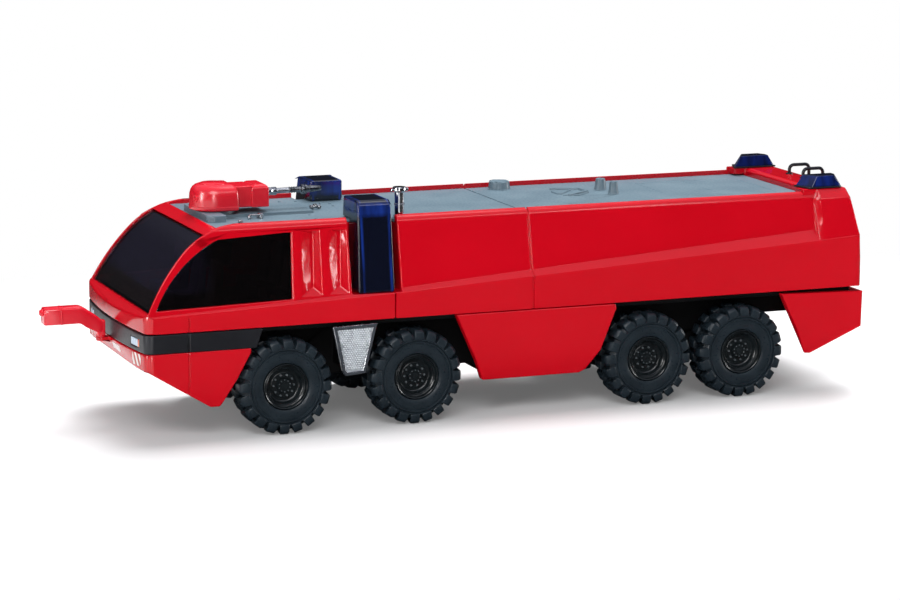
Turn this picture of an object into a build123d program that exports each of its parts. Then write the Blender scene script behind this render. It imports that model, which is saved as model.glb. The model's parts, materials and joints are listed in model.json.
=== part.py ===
from build123d import *
import math
import os

os.makedirs("parts", exist_ok=True)

# Collector's scale model of an eight-wheeled airport fire truck, at 1:87, in millimetres.
# +X is forward, +Y is the left side, +Z is up, and the wheels stand on Z = 0.

# Body, seen from the side
nose_x = 58.15
tail_x = -69.4
sill_z = 17.8
low_z = 10.0
shelf_z = sill_z + 2.2
rim_z = 34.0
rear_rim_z = rim_z + 0.45
body_rise = rim_z - sill_z
screen_base_x, screen_base_z = nose_x - 1.65, shelf_z + 0.8
screen_rise = rim_z - screen_base_z
screen_mid_x, screen_mid_z = nose_x - 4.2, screen_base_z + 0.341 * screen_rise
brow_x, brow_z = nose_x - 7.75, screen_base_z + 0.678 * screen_rise
roof_front_x = nose_x - 17.95
rear_block_x = tail_x + 8.5
rear_block_slant = 0.9
tail_mid_x, tail_mid_z = tail_x + 0.85, sill_z + 0.568 * body_rise
tail_top_x = tail_x + 2.3

# Body, seen from the front and from above
half_width = 17.25
shoulder_half = half_width - 2.65
shoulder_z = rim_z - 1.25
side_lean = 0.2
rim_half = half_width - 3.85
shoulder_sag = 0.28
corner_radius = 1.5
nose_bow = 1.3
ledge = 1.8
rear_block_half = half_width - 1.65
rear_block_z = rim_z - 1.1
rear_rim_half = half_width - 2.95
rear_crease_z = sill_z + 0.506 * body_rise

# Belt crease, as stations along the body
seam_x = 15.55
crease_stations = [  # x, z of the crease
    (nose_x + 1, sill_z + 0.148 * body_rise),
    (seam_x, sill_z + 0.25 * body_rise),
    (tail_x - 1, sill_z + 0.543 * body_rise),
]

# Cab: walls, windows, flutes
cab_wall = 1.5
cab_rear_wall_x = 24.0
cab_ceiling_z = rim_z - 2.1
screen_edge = 0.4
screen_top_z = rim_z - 1.5
window_front_x, window_front_z = nose_x - 3.05, screen_base_z + 0.55
window_top_x, window_top_z = nose_x - 15.55, rim_z - 1.6
window_mid_x, window_mid_z = nose_x - 7.85, window_front_z + 0.593 * (window_top_z - window_front_z)
window_rear_x = 32.3
window_rear_low_x, window_rear_low_z = 32.75, window_front_z + 0.5
pane_recess = 0.3
pane_thick = 0.7
pane_gap = 0.05
flute_depth = 0.9
flute_top_z = rim_z - 1.8
flute_low_z = sill_z + 0.272 * body_rise
flutes = [  # x of the front edge, the deepest line and the rear edge, at the top and then at the foot
    ((30.85, 28.45, 27.6), (30.95, 29.05, 27.8)),
    ((26.2, 23.85, 23.1), (26.4, 24.6, 23.2)),
]
groove_width = 0.3
groove_depth = 0.25
front_joint_x = 49.95
tank_joint_x = -8.45

# Roof decks
deck_z = rim_z - 0.8
deck_thick = 0.5
deck_front_x = nose_x - 14.0
deck_rear_x = -61.15
fit = 0.05

# Saddle beacons at the front of the tank, and corner beacons at its rear
pocket_front_x = 22.7
pocket_rear_x = 14.4
pocket_half = half_width - 6.25
pocket_z = sill_z + 0.259 * body_rise
saddle_front_x = 21.2
saddle_rear_x = 15.6
saddle_flare = 0.5
saddle_inner = half_width - 9.25
saddle_top_z = deck_z + 3.45
saddle_top_half = half_width - 2.4
saddle_low_half = half_width - 0.25
beacon_base_z = rear_rim_z + fit
beacon_height = 2.1
beacon_inner = half_width - 6.05
beacon_outer = half_width - 2.85
beacon_front_x = -59.0
beacon_rear_x = -67.0

# Bumper band and skirts
band_top_z = 17.65
band_low_z = 14.65
band_thick = 1.5
band_end_x = nose_x - 20.3
skirt_thick = 1.6
skirt_top_z = 14.6
skirt_bend_z = 9.6
skirt_low_z = 5.4
skirt_tuck = 0.95

# Running gear
tyre_radius = 7.8
tread_radius = 7.0
tyre_width = 5.8
tyre_outer_y = half_width - 0.35
rim_radius = 3.75
axle_radius = 0.75
bearing_gap = 0.05
first_axle_x = 33.8
front_spread = 22.2
long_gap = 41.3
rear_spread = 17.2
lug_count = 16
axle_x = [  # x of each axle, from the front
    first_axle_x,
    first_axle_x - front_spread,
    first_axle_x - front_spread - long_gap,
    first_axle_x - front_spread - long_gap - rear_spread,
]
step_x = (axle_x[0] + axle_x[1]) / 2
well_x = (axle_x[1] + axle_x[2]) / 2
chassis_half = tyre_outer_y - tyre_width - 0.8
floor_z = 16.8
floor_thick = 0.95

# Monitors
turret_x = 40.4
turret_half = 4.1
turret_height = 4.25
turret_low_z = deck_z + 1.15
peg_radius = 1.4
barrel_tilt_rise = 0.015
swivel_x = 59.45
swivel_z = 14.65
swivel_peg = 0.5


def side_half(z):
    """Half width of the leaning side at a height."""
    return shoulder_half + side_lean * (shoulder_z - z)


def mirrored(points):
    """Closes a half outline, listed from the bottom up at +Y, with its mirror image."""
    return points + [(-y, z) for y, z in reversed(points)]


def bulge(a, b, sag):
    """Middle point of a flat arc from a to b that stands out by sag."""
    along_y, along_z = b[0] - a[0], b[1] - a[1]
    length = (along_y**2 + along_z**2) ** 0.5
    return ((a[0] + b[0]) / 2 + along_z / length * sag, (a[1] + b[1]) / 2 - along_y / length * sag)


def side_profile(inset=0.0):
    """The body's outline from the side, drawn from well below the sill."""
    with BuildSketch(Plane.XZ) as profile:
        with BuildLine():
            nose = Polyline(
                (tail_x, sill_z),
                (tail_x, low_z),
                (nose_x, low_z),
                (nose_x, shelf_z),
                (screen_base_x, screen_base_z),
            )
            screen = ThreePointArc(nose @ 1, (screen_mid_x, screen_mid_z), (brow_x, brow_z))
            brow = TangentArc(screen @ 1, (roof_front_x, rim_z), tangent=screen % 1)
            Polyline(
                brow @ 1,
                (rear_block_x + fit, rim_z),
                (rear_block_x, rear_rim_z),
                (tail_top_x, rear_rim_z),
            )
            ThreePointArc((tail_top_x, rear_rim_z), (tail_mid_x, tail_mid_z), (tail_x, sill_z))
        make_face()
        if inset:
            offset(amount=-inset, kind=Kind.INTERSECTION, mode=Mode.REPLACE)
    return profile.sketch


def plan_outline(z, inset=0.0):
    """The body's outline from above, with the bowed nose and the rounded corners."""
    corner_x = nose_x - nose_bow
    with BuildSketch(Plane.XY.offset(z)) as plan:
        with BuildLine():
            Polyline(
                (corner_x, -half_width),
                (tail_x, -half_width),
                (tail_x, half_width),
                (corner_x, half_width),
            )
            ThreePointArc((corner_x, half_width), (nose_x, 0), (corner_x, -half_width))
        make_face()
        fillet(plan.vertices(), corner_radius)
        if inset:
            offset(amount=-inset, kind=Kind.INTERSECTION, mode=Mode.REPLACE)
    return plan.sketch


def body_form(inset=0.0, base_z=sill_z):
    """Solid form of cab and tank together, or the same form set in by a wall's thickness."""
    low = (side_half(base_z) - inset, base_z)
    shoulder = (shoulder_half - inset, shoulder_z)
    rim = (rim_half - inset, rim_z - inset)
    block_low = (half_width - inset, base_z)
    block_side = (half_width - inset, rear_crease_z)
    block_shoulder = (rear_block_half - inset, rear_block_z)
    block_rim = (rear_rim_half - inset, rear_rim_z - inset)
    side = half_width - inset
    with BuildPart() as form:
        with BuildSketch(Plane.YZ.offset(tail_x)):
            with BuildLine():
                Polyline(shoulder, low, (-low[0], base_z), (-shoulder[0], shoulder_z))
                Line((-rim[0], rim[1]), rim)
                over = bulge(shoulder, rim, shoulder_sag)
                ThreePointArc(shoulder, over, rim)
                ThreePointArc((-shoulder[0], shoulder_z), (-over[0], over[1]), (-rim[0], rim[1]))
            make_face()
        extrude(amount=nose_x - tail_x)
        with BuildSketch(Plane.XY.offset(base_z)):
            with Locations(((nose_x + tail_x) / 2, 0)):
                Rectangle(2 * (nose_x - tail_x), 2 * side)
        extrude(amount=rim_z, mode=Mode.INTERSECT)
        for x, crease in crease_stations:
            with BuildSketch(Plane.YZ.offset(x)):
                with BuildLine():
                    Polyline(
                        *mirrored([(side, base_z), (side, crease), (side - ledge, crease + ledge)]),
                        close=True,
                    )
                make_face()
        loft(ruled=True)
        with BuildSketch(Plane.YZ.offset(tail_x)):
            with BuildLine():
                Polyline(*mirrored([block_low, block_side, block_shoulder, block_rim]), close=True)
            make_face()
        extrude(amount=rear_block_x - rear_block_slant - tail_x)
        for x, outline in (
            (rear_block_x - rear_block_slant, [block_low, block_side, block_shoulder, block_rim]),
            (rear_block_x, [block_low, block_side, shoulder, rim]),
        ):
            with BuildSketch(Plane.YZ.offset(x)):
                with BuildLine():
                    Polyline(*mirrored(outline), close=True)
                make_face()
        loft(ruled=True)
        extrude(side_profile(inset), amount=2 * half_width, both=True, mode=Mode.INTERSECT)
        extrude(plan_outline(base_z, inset), amount=rim_z, mode=Mode.INTERSECT)
    return form.part


def side_window(gap=0.0):
    """Outline of a side window in the XZ plane."""
    with BuildSketch(Plane.XZ) as window:
        with BuildLine():
            Polyline(
                (window_top_x, window_top_z),
                (window_rear_x, window_top_z - 0.15),
                (window_rear_low_x, window_rear_low_z),
                (window_front_x, window_front_z),
            )
            ThreePointArc(
                (window_front_x, window_front_z),
                (window_mid_x, window_mid_z),
                (window_top_x, window_top_z),
            )
        make_face()
        if gap:
            offset(amount=-gap, kind=Kind.INTERSECTION, mode=Mode.REPLACE)
    return window.sketch


def screen_outline(gap=0.0):
    """Outline of the windscreen in the YZ plane, just inside the two front pillars."""
    low_z_edge = screen_base_z + 0.1 + gap
    top_z_edge = screen_top_z - gap
    with BuildSketch(Plane.YZ.offset(deck_front_x)) as opening:
        with BuildLine():
            Polyline(
                *mirrored([
                    (side_half(low_z_edge) - screen_edge - gap, low_z_edge),
                    (side_half(top_z_edge) - screen_edge - gap, top_z_edge),
                ]),
                close=True,
            )
        make_face()
    return opening.sketch


def joint_grooves(stations, low, high):
    """V grooves round the body at the panel joints, to be cut from its outer face."""
    skin = body_form(groove_depth, base_z=low - 1)
    with BuildPart() as grooves:
        for x in stations:
            with BuildSketch(Plane.XY.offset(low)):
                with Locations((x, 0)):
                    Rectangle(groove_width, 2 * half_width + 2)
            extrude(amount=high - low)
        add(skin, mode=Mode.SUBTRACT)
    return grooves.part


outer_form = body_form()
lining_form = body_form(cab_wall, base_z=sill_z - 1)
cut_form = body_form(cab_wall + 0.1, base_z=sill_z - 1)
pane_outer = body_form(pane_recess, base_z=sill_z - 1)
pane_inner = body_form(pane_recess + pane_thick, base_z=sill_z - 1)

# Cutting tools for the cab
with BuildPart() as cab_space:
    add(lining_form)
    split(bisect_by=Plane.YZ.offset(cab_rear_wall_x), keep=Keep.TOP)
    split(bisect_by=Plane.XY.offset(cab_ceiling_z), keep=Keep.BOTTOM)

with BuildPart() as window_cut:
    extrude(side_window(), amount=2 * half_width, both=True)
    add(cut_form, mode=Mode.SUBTRACT)

with BuildPart() as screen_cut:
    extrude(screen_outline(), amount=nose_x - deck_front_x)
    extrude(side_profile(cab_wall + 0.1), amount=half_width, both=True, mode=Mode.SUBTRACT)

with BuildPart() as flute_cut:
    for at_top, at_foot in flutes:
        for z, (front, deepest, rear) in ((flute_top_z, at_top), (flute_low_z, at_foot)):
            face = side_half(z)
            with BuildSketch(Plane.XY.offset(z)):
                with BuildLine():
                    Polyline(
                        (front, face + 1),
                        (front, face),
                        (deepest, face - flute_depth),
                        (rear, face),
                        (rear, face + 1),
                        close=True,
                    )
                make_face()
        loft(ruled=True)
    split(
        bisect_by=Plane(origin=(0, side_half(flute_low_z), flute_low_z), z_dir=(0, 1, 1)), keep=Keep.TOP
    )
    mirror(about=Plane.XZ)

with BuildPart() as saddle_pockets:
    for side in (1, -1):
        with BuildSketch(Plane.XY.offset(pocket_z)):
            with Locations(((pocket_front_x + pocket_rear_x) / 2, side * (pocket_half + half_width) / 2)):
                Rectangle(pocket_front_x - pocket_rear_x, half_width - pocket_half + 2 * fit)
        extrude(amount=rim_z)

with BuildPart() as deck_pocket:
    with BuildSketch(Plane.XY.offset(deck_z - deck_thick)):
        with Locations(((deck_front_x + deck_rear_x) / 2, 0)):
            Rectangle(deck_front_x - deck_rear_x, 2 * rim_half)
    extrude(amount=rim_z)

# Cab shell: one hollow moulding with its windows, flutes and the front half of the beacon pockets
with BuildPart() as cab_shell:
    add(outer_form)
    split(bisect_by=Plane.YZ.offset(seam_x + fit), keep=Keep.TOP)
    add(cab_space.part, mode=Mode.SUBTRACT)
    add(deck_pocket.part, mode=Mode.SUBTRACT)
    add(window_cut.part, mode=Mode.SUBTRACT)
    add(screen_cut.part, mode=Mode.SUBTRACT)
    add(flute_cut.part, mode=Mode.SUBTRACT)
    add(saddle_pockets.part, mode=Mode.SUBTRACT)
    add(joint_grooves([front_joint_x], sill_z - 1, shelf_z), mode=Mode.SUBTRACT)
cab_shell.part.label = "cab_shell"
export_step(cab_shell.part, "parts/cab_shell.step")

# Windscreen and side panes, set in by a step from the cab's face
with BuildPart() as windscreen:
    extrude(screen_outline(pane_gap), amount=nose_x - deck_front_x)
    extrude(side_profile(pane_recess), amount=half_width, both=True, mode=Mode.INTERSECT)
    extrude(
        side_profile(pane_recess + pane_thick), amount=half_width, both=True, mode=Mode.SUBTRACT
    )
windscreen.part.label = "windscreen"
export_step(windscreen.part, "parts/windscreen.step")

with BuildPart() as side_windows:
    extrude(side_window(pane_gap), amount=2 * half_width, both=True)
    add(pane_outer, mode=Mode.INTERSECT)
    add(pane_inner, mode=Mode.SUBTRACT)
side_windows.part.label = "side_windows"
export_step(side_windows.part, "parts/side_windows.step")

# Cab interior: floor tray, dashboard, steering wheel post and two rows of seats
tray_z = sill_z + 0.05
tray_thick = 0.7
tray_half = half_width - cab_wall - 0.95
tray_front_x = nose_x - cab_wall - 3.15
dash_x = tray_front_x - 0.2
dash_z = 22.0
seat_half = 2.2
seat_z = 20.9
seat_back_z = cab_ceiling_z - 4.5
seat_rows = [  # x of the cushion's middle, y of each seat
    (45.5, (-9.0, 0.0, 9.0)),
    (31.0, (-9.0, -3.0, 3.0, 9.0)),
]
with BuildPart() as cab_interior:
    with BuildSketch(Plane.XY.offset(tray_z)):
        with Locations(((tray_front_x + cab_rear_wall_x + 0.2) / 2, 0)):
            Rectangle(tray_front_x - cab_rear_wall_x - 0.2, 2 * tray_half)
    extrude(amount=tray_thick)
    with BuildSketch(Plane.XZ):
        with BuildLine():
            Polyline(
                (dash_x, tray_z),
                (dash_x, dash_z - 0.6),
                (dash_x - 1.7, dash_z),
                (dash_x - 2.7, dash_z - 0.8),
                (dash_x - 2.4, tray_z),
                close=True,
            )
        make_face()
    extrude(amount=tray_half - 0.2, both=True)
    for row_x, seats in seat_rows:
        for y in seats:
            with BuildSketch(Plane.XZ.offset(-y)):
                with BuildLine():
                    Polyline(
                        (row_x + 2.2, tray_z),
                        (row_x + 2.4, seat_z + 0.3),
                        (row_x - 1.2, seat_z),
                        (row_x - 2.3, seat_back_z),
                        (row_x - 3.2, seat_back_z),
                        (row_x - 2.6, tray_z),
                        close=True,
                    )
                make_face()
            extrude(amount=seat_half, both=True)
cab_interior.part.label = "cab_interior"
export_step(cab_interior.part, "parts/cab_interior.step")

# Cab roof deck with the turret's pedestal and the low duct behind it
pedestal_z = deck_z + 1.05
pedestal_half = 7.3
pedestal_front_x = 43.6
pedestal_rear_x = 40.6
seat_radius = 3.3
duct_half = 3.4
duct_rear_x = 24.6
duct_z = deck_z + 0.5
with BuildPart() as cab_deck:
    with BuildSketch(Plane.XY.offset(deck_z - deck_thick)):
        with Locations(((deck_front_x + seam_x) / 2, 0)):
            Rectangle(deck_front_x - seam_x - 2 * fit, 2 * (rim_half - fit))
    extrude(amount=deck_thick)
    with BuildSketch(Plane.XY.offset(deck_z)) as pedestal:
        with Locations(((pedestal_front_x + pedestal_rear_x) / 2, 0)):
            Rectangle(pedestal_front_x - pedestal_rear_x, 2 * pedestal_half)
        chamfer(pedestal.vertices().group_by(Axis.X)[-1], 1.1)
    extrude(amount=pedestal_z - deck_z)
    with BuildSketch(Plane.XY.offset(deck_z)):
        with Locations((turret_x, 0)):
            RegularPolygon(seat_radius, 24)
    extrude(amount=pedestal_z - deck_z)
    with BuildSketch(Plane.XY.offset(deck_z)):
        with Locations(((pedestal_front_x + duct_rear_x) / 2, 0)):
            Rectangle(pedestal_front_x - duct_rear_x, 2 * duct_half)
    extrude(amount=duct_z - deck_z)
    with Locations((turret_x, 0, deck_z)):
        Cylinder(
            peg_radius + bearing_gap,
            pedestal_z - deck_z,
            align=(Align.CENTER, Align.CENTER, Align.MIN),
            mode=Mode.SUBTRACT,
        )
    add(saddle_pockets.part, mode=Mode.SUBTRACT)
cab_deck.part.label = "cab_deck"
export_step(cab_deck.part, "parts/cab_deck.step")

# Rear ladder, standing in a shallow recess of the tank's rear face
rail_half = 2.5
rail_radius = 0.3
ladder_x = -69.15
recess_x = -68.6
recess_half = 3.3
recess_low_z, recess_high_z = sill_z + 0.8, sill_z + 0.605 * body_rise

# Tank body: solid tank with the raised rear block, the ramp between the rear beacons and its pads
ramp_top_x = -65.0
with BuildPart() as tank_body:
    add(outer_form)
    split(bisect_by=Plane.YZ.offset(seam_x - fit), keep=Keep.BOTTOM)
    add(deck_pocket.part, mode=Mode.SUBTRACT)
    add(saddle_pockets.part, mode=Mode.SUBTRACT)
    add(joint_grooves([tank_joint_x], sill_z - 1, rim_z + 1), mode=Mode.SUBTRACT)
    with BuildSketch(Plane.XZ):
        with BuildLine():
            Polyline(
                (deck_rear_x, deck_z - deck_thick),
                (deck_rear_x, deck_z),
                (ramp_top_x, rear_rim_z),
                (ramp_top_x, deck_z - deck_thick),
                close=True,
            )
        make_face()
    extrude(amount=beacon_inner - 0.2, both=True)
    for side in (1, -1):
        with BuildSketch(Plane.XY.offset(rim_z - 0.6)):
            with Locations(((beacon_front_x + ramp_top_x) / 2, side * (beacon_inner + rear_rim_half) / 2)):
                Rectangle(beacon_front_x - ramp_top_x, rear_rim_half - beacon_inner)
        extrude(amount=rear_rim_z - rim_z + 0.6)
    with BuildSketch(Plane.YZ.offset(recess_x)):
        with Locations((0, (recess_low_z + recess_high_z) / 2)):
            Rectangle(2 * recess_half, recess_high_z - recess_low_z)
    extrude(amount=-2, mode=Mode.SUBTRACT)
tank_body.part.label = "tank_body"
export_step(tank_body.part, "parts/tank_body.step")

# Tank roof deck with its filler cap, two vents and the forked rib between them
deck_fittings = [  # x, y, radius, height
    (-13.9, 2.5 - rim_half, 1.9, 1.4),
    (-29.9, -4.3, 1.05, 2.0),
    (-30.1, 0.6, 0.9, 2.1),
]
ribs = [  # x and y of one end, x and y of the other
    (-21.5, -6.7, -26.5, -5.6),
    (-21.9, 0.6, -26.5, -2.4),
    (-26.5, -5.6, -26.5, -2.4),
]
with BuildPart() as tank_deck:
    with BuildSketch(Plane.XY.offset(deck_z - deck_thick)):
        with Locations(((seam_x + deck_rear_x) / 2, 0)):
            Rectangle(seam_x - deck_rear_x - 2 * fit, 2 * (rim_half - fit))
    extrude(amount=deck_thick)
    for x, y, radius, height in deck_fittings:
        with BuildSketch(Plane.XY.offset(deck_z)):
            with Locations((x, y)):
                RegularPolygon(radius, 20)
        extrude(amount=height, taper=7)
    for x0, y0, x1, y1 in ribs:
        with BuildSketch(Plane.XY.offset(deck_z)):
            with BuildLine():
                Line((x0, y0), (x1, y1))
            trace(line_width=0.7)
        extrude(amount=0.35)
    with BuildSketch(Plane.XY.offset(deck_z - 0.15)):
        with Locations((tank_joint_x, 0)):
            Rectangle(groove_width, 2 * rim_half)
    extrude(amount=1, mode=Mode.SUBTRACT)
    add(saddle_pockets.part, mode=Mode.SUBTRACT)
tank_deck.part.label = "tank_deck"
export_step(tank_deck.part, "parts/tank_deck.step")

# Saddle beacons: dark blue blocks that wrap the shoulder and run down the side
for side, name in ((1, "left"), (-1, "right")):
    with BuildPart() as saddle_beacon:
        with BuildSketch(Plane.YZ.offset(saddle_rear_x)) as block:
            with BuildLine():
                Polyline(
                    (side * saddle_inner, deck_z + fit),
                    (side * saddle_inner, saddle_top_z),
                    (side * saddle_top_half, saddle_top_z),
                    (side * saddle_low_half, pocket_z + fit),
                    (side * (pocket_half + fit), pocket_z + fit),
                    (side * (pocket_half + fit), deck_z + fit),
                    close=True,
                )
            make_face()
            top_corners = block.vertices().group_by(Axis.Y)[-1].sort_by(Axis.X)
            fillet(top_corners[-1 if side > 0 else 0], 1.2)
        extrude(amount=saddle_front_x + saddle_flare - saddle_rear_x)
        with BuildSketch(Plane.XZ):
            with BuildLine():
                Polyline(
                    (saddle_rear_x, pocket_z),
                    (saddle_rear_x, saddle_top_z),
                    (saddle_front_x, saddle_top_z),
                    (saddle_front_x + saddle_flare, pocket_z),
                    close=True,
                )
            make_face()
        extrude(amount=2 * half_width, both=True, mode=Mode.INTERSECT)
    saddle_beacon.part.label = f"saddle_beacon_{name}"
    export_step(saddle_beacon.part, f"parts/saddle_beacon_{name}.step")

# Corner beacons on the rear block's pads
beacon_corner = 1.5
beacon_outlines = [  # height above the base, inset of the two ends, inset of the sides
    (0.0, 0.0, 0.0),
    (beacon_height, 1.25, 0.35),
]
with BuildPart() as corner_beacon_left:
    for rise, end_inset, side_inset in beacon_outlines:
        with BuildSketch(Plane.XY.offset(beacon_base_z + rise)):
            with BuildLine():
                Polyline(
                    (beacon_front_x - end_inset, beacon_inner + side_inset),
                    (beacon_front_x - beacon_corner - end_inset, beacon_outer - side_inset),
                    (beacon_rear_x + beacon_corner / 2 + end_inset, beacon_outer - side_inset),
                    (beacon_rear_x + end_inset, beacon_outer - beacon_corner - side_inset),
                    (beacon_rear_x + end_inset, beacon_inner + side_inset),
                    close=True,
                )
            make_face()
    loft(ruled=True)
corner_beacon_left.part.label = "corner_beacon_left"
export_step(corner_beacon_left.part, "parts/corner_beacon_left.step")

with BuildPart() as corner_beacon_right:
    mirror(corner_beacon_left.part, about=Plane.XZ)
corner_beacon_right.part.label = "corner_beacon_right"
export_step(corner_beacon_right.part, "parts/corner_beacon_right.step")

# Turned post behind the left saddle beacon
post_x, post_y = 13.0, half_width - 5.35
post_rise = 5.0
post_sides = 16
post_stations = [  # height above the deck, radius there
    (fit, 0.95),
    (post_rise - 0.9, 0.85),
    (post_rise - 0.7, 1.1),
    (post_rise, 1.1),
]
with BuildPart() as roof_post:
    for rise, radius in post_stations:
        with BuildSketch(Plane.XY.offset(deck_z + rise)):
            with Locations((post_x, post_y)):
                RegularPolygon(radius, post_sides)
    loft(ruled=True)
roof_post.part.label = "roof_post"
export_step(roof_post.part, "parts/roof_post.step")

# Rear ladder: two grab rails loop over the roof's edge and run down as stiles with rungs
rail_bend = 0.5
rung_radius = 0.24
rail_top_z = rear_rim_z + 1.6
rail_front_x = -65.3
rail_foot_z = rear_rim_z + fit
ladder_low_z = 19.4
rung_count = 6
rung_pitch = 2.3
with BuildPart() as rear_ladder:
    for y in (-rail_half, rail_half):
        with BuildLine(Plane.XZ.offset(-y)) as rail:
            Polyline(
                (rail_front_x, rail_foot_z),
                (rail_front_x, rail_top_z - rail_bend),
                (rail_front_x - rail_bend, rail_top_z),
                (ladder_x + rail_bend, rail_top_z),
                (ladder_x, rail_top_z - rail_bend),
                (ladder_x, ladder_low_z),
            )
        with BuildSketch(Plane(origin=rail.line @ 0, z_dir=rail.line % 0)):
            RegularPolygon(rail_radius, 6)
        sweep(transition=Transition.RIGHT)
    for rung in range(rung_count):
        with BuildSketch(Plane.XZ.offset(-rail_half)):
            with Locations((ladder_x, ladder_low_z + 1 + rung * rung_pitch)):
                RegularPolygon(rung_radius, 6)
        extrude(amount=2 * rail_half)
    for y in (-rail_half, rail_half):
        for z in (ladder_low_z + 0.5, ladder_low_z + 0.5 + 3 * rung_pitch):
            with BuildSketch(Plane.YZ.offset(ladder_x)):
                with Locations((y, z)):
                    Rectangle(rung_radius, rung_radius)
            extrude(amount=recess_x - 0.02 - ladder_x)
rear_ladder.part.label = "rear_ladder"
export_step(rear_ladder.part, "parts/rear_ladder.step")

# Bumper band round the nose, with its lamp pockets
lamp_y = half_width - 4.5
lamp_width = 3.4
lamp_low_z, lamp_high_z = 15.4, 16.7
lamp_depth = 0.5
with BuildPart() as bumper_band:
    extrude(plan_outline(band_low_z), amount=band_top_z - band_low_z)
    extrude(
        plan_outline(band_low_z, band_thick), amount=band_top_z - band_low_z, mode=Mode.SUBTRACT
    )
    with BuildSketch(Plane.XZ):
        with BuildLine():
            Polyline(
                (band_end_x, band_top_z),
                (nose_x, band_top_z),
                (nose_x, band_low_z),
                (band_end_x + 1.0, band_low_z),
                close=True,
            )
        make_face()
    extrude(amount=2 * half_width, both=True, mode=Mode.INTERSECT)
    for y in (-lamp_y, lamp_y):
        with BuildSketch(Plane.YZ.offset(nose_x - nose_bow + 0.1)):
            with Locations((y, (lamp_low_z + lamp_high_z) / 2)):
                Rectangle(lamp_width, lamp_high_z - lamp_low_z)
        extrude(amount=nose_bow, mode=Mode.SUBTRACT)
    with BuildSketch(Plane.XY.offset(band_low_z)):
        with Locations((front_joint_x, -half_width), (front_joint_x, half_width)):
            Rectangle(groove_width, 2 * groove_depth)
    extrude(amount=band_top_z - band_low_z, mode=Mode.SUBTRACT)
bumper_band.part.label = "bumper_band"
export_step(bumper_band.part, "parts/bumper_band.step")

# Headlamps that fill the band's pockets, flush with its face
with BuildPart() as headlamps:
    extrude(plan_outline(lamp_low_z + fit), amount=lamp_high_z - lamp_low_z - 2 * fit)
    with BuildSketch(Plane.YZ.offset(nose_x - nose_bow + 0.1 + fit)):
        with Locations((-lamp_y, lamp_low_z + 1), (lamp_y, lamp_low_z + 1)):
            Rectangle(lamp_width - 2 * fit, 4)
    extrude(amount=nose_bow, mode=Mode.INTERSECT)
headlamps.part.label = "headlamps"
export_step(headlamps.part, "parts/headlamps.step")

# Front skirt: raked underside, tucked-in lower edge, and the tongue that carries the bumper monitor
tongue_half = 0.8
tongue_thick = 0.65
tongue_z = swivel_z - tongue_thick - fit
with BuildPart() as front_skirt:
    extrude(plan_outline(skirt_low_z), amount=skirt_top_z - skirt_low_z)
    extrude(
        plan_outline(skirt_low_z, skirt_thick), amount=skirt_top_z - skirt_low_z, mode=Mode.SUBTRACT
    )
    with BuildSketch(Plane.XZ) as rake:
        with BuildLine():
            Polyline(
                (nose_x - 18.4, skirt_top_z),
                (nose_x - 18.4, skirt_top_z - 0.7),
                (nose_x - 13.95, skirt_low_z + 0.6),
                (nose_x - 13.55, skirt_low_z),
                (nose_x - 11.95, skirt_low_z),
                (nose_x - 1.65, skirt_top_z - 2.85),
                (nose_x - 0.75, skirt_top_z - 2.7),
                (nose_x, skirt_top_z),
                close=True,
            )
        make_face()
    extrude(amount=2 * half_width, both=True, mode=Mode.INTERSECT)
    with BuildSketch(Plane.YZ.offset(nose_x)):
        with BuildLine():
            Polyline(
                *mirrored([
                    (half_width - skirt_tuck, skirt_low_z),
                    (half_width, skirt_bend_z),
                    (half_width, skirt_top_z),
                ]),
                close=True,
            )
        make_face()
    extrude(amount=-nose_x, mode=Mode.INTERSECT)
    with BuildSketch(Plane.YZ.offset(front_joint_x - groove_width / 2)):
        for side in (1, -1):
            with BuildLine():
                Polyline(
                    (side * (half_width + 0.1), skirt_top_z),
                    (side * (half_width - groove_depth), skirt_top_z),
                    (side * (half_width - groove_depth), skirt_bend_z),
                    (side * (half_width - skirt_tuck - groove_depth), skirt_low_z),
                    (side * (half_width + 0.1), skirt_low_z),
                    close=True,
                )
            make_face()
    extrude(amount=groove_width, mode=Mode.SUBTRACT)
    with BuildSketch(Plane.XY.offset(tongue_z)):
        with Locations(((swivel_x + nose_x) / 2 - 0.7, 0)):
            Rectangle(swivel_x - nose_x + 1.4, 2 * tongue_half)
        with Locations((swivel_x, 0)):
            RegularPolygon(tongue_half, 16)
    extrude(amount=tongue_thick)
    with Locations((swivel_x, 0, tongue_z)):
        Cylinder(
            swivel_peg + bearing_gap,
            tongue_thick,
            align=(Align.CENTER, Align.CENTER, Align.MIN),
            mode=Mode.SUBTRACT,
        )
front_skirt.part.label = "front_skirt"
export_step(front_skirt.part, "parts/front_skirt.step")

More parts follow.
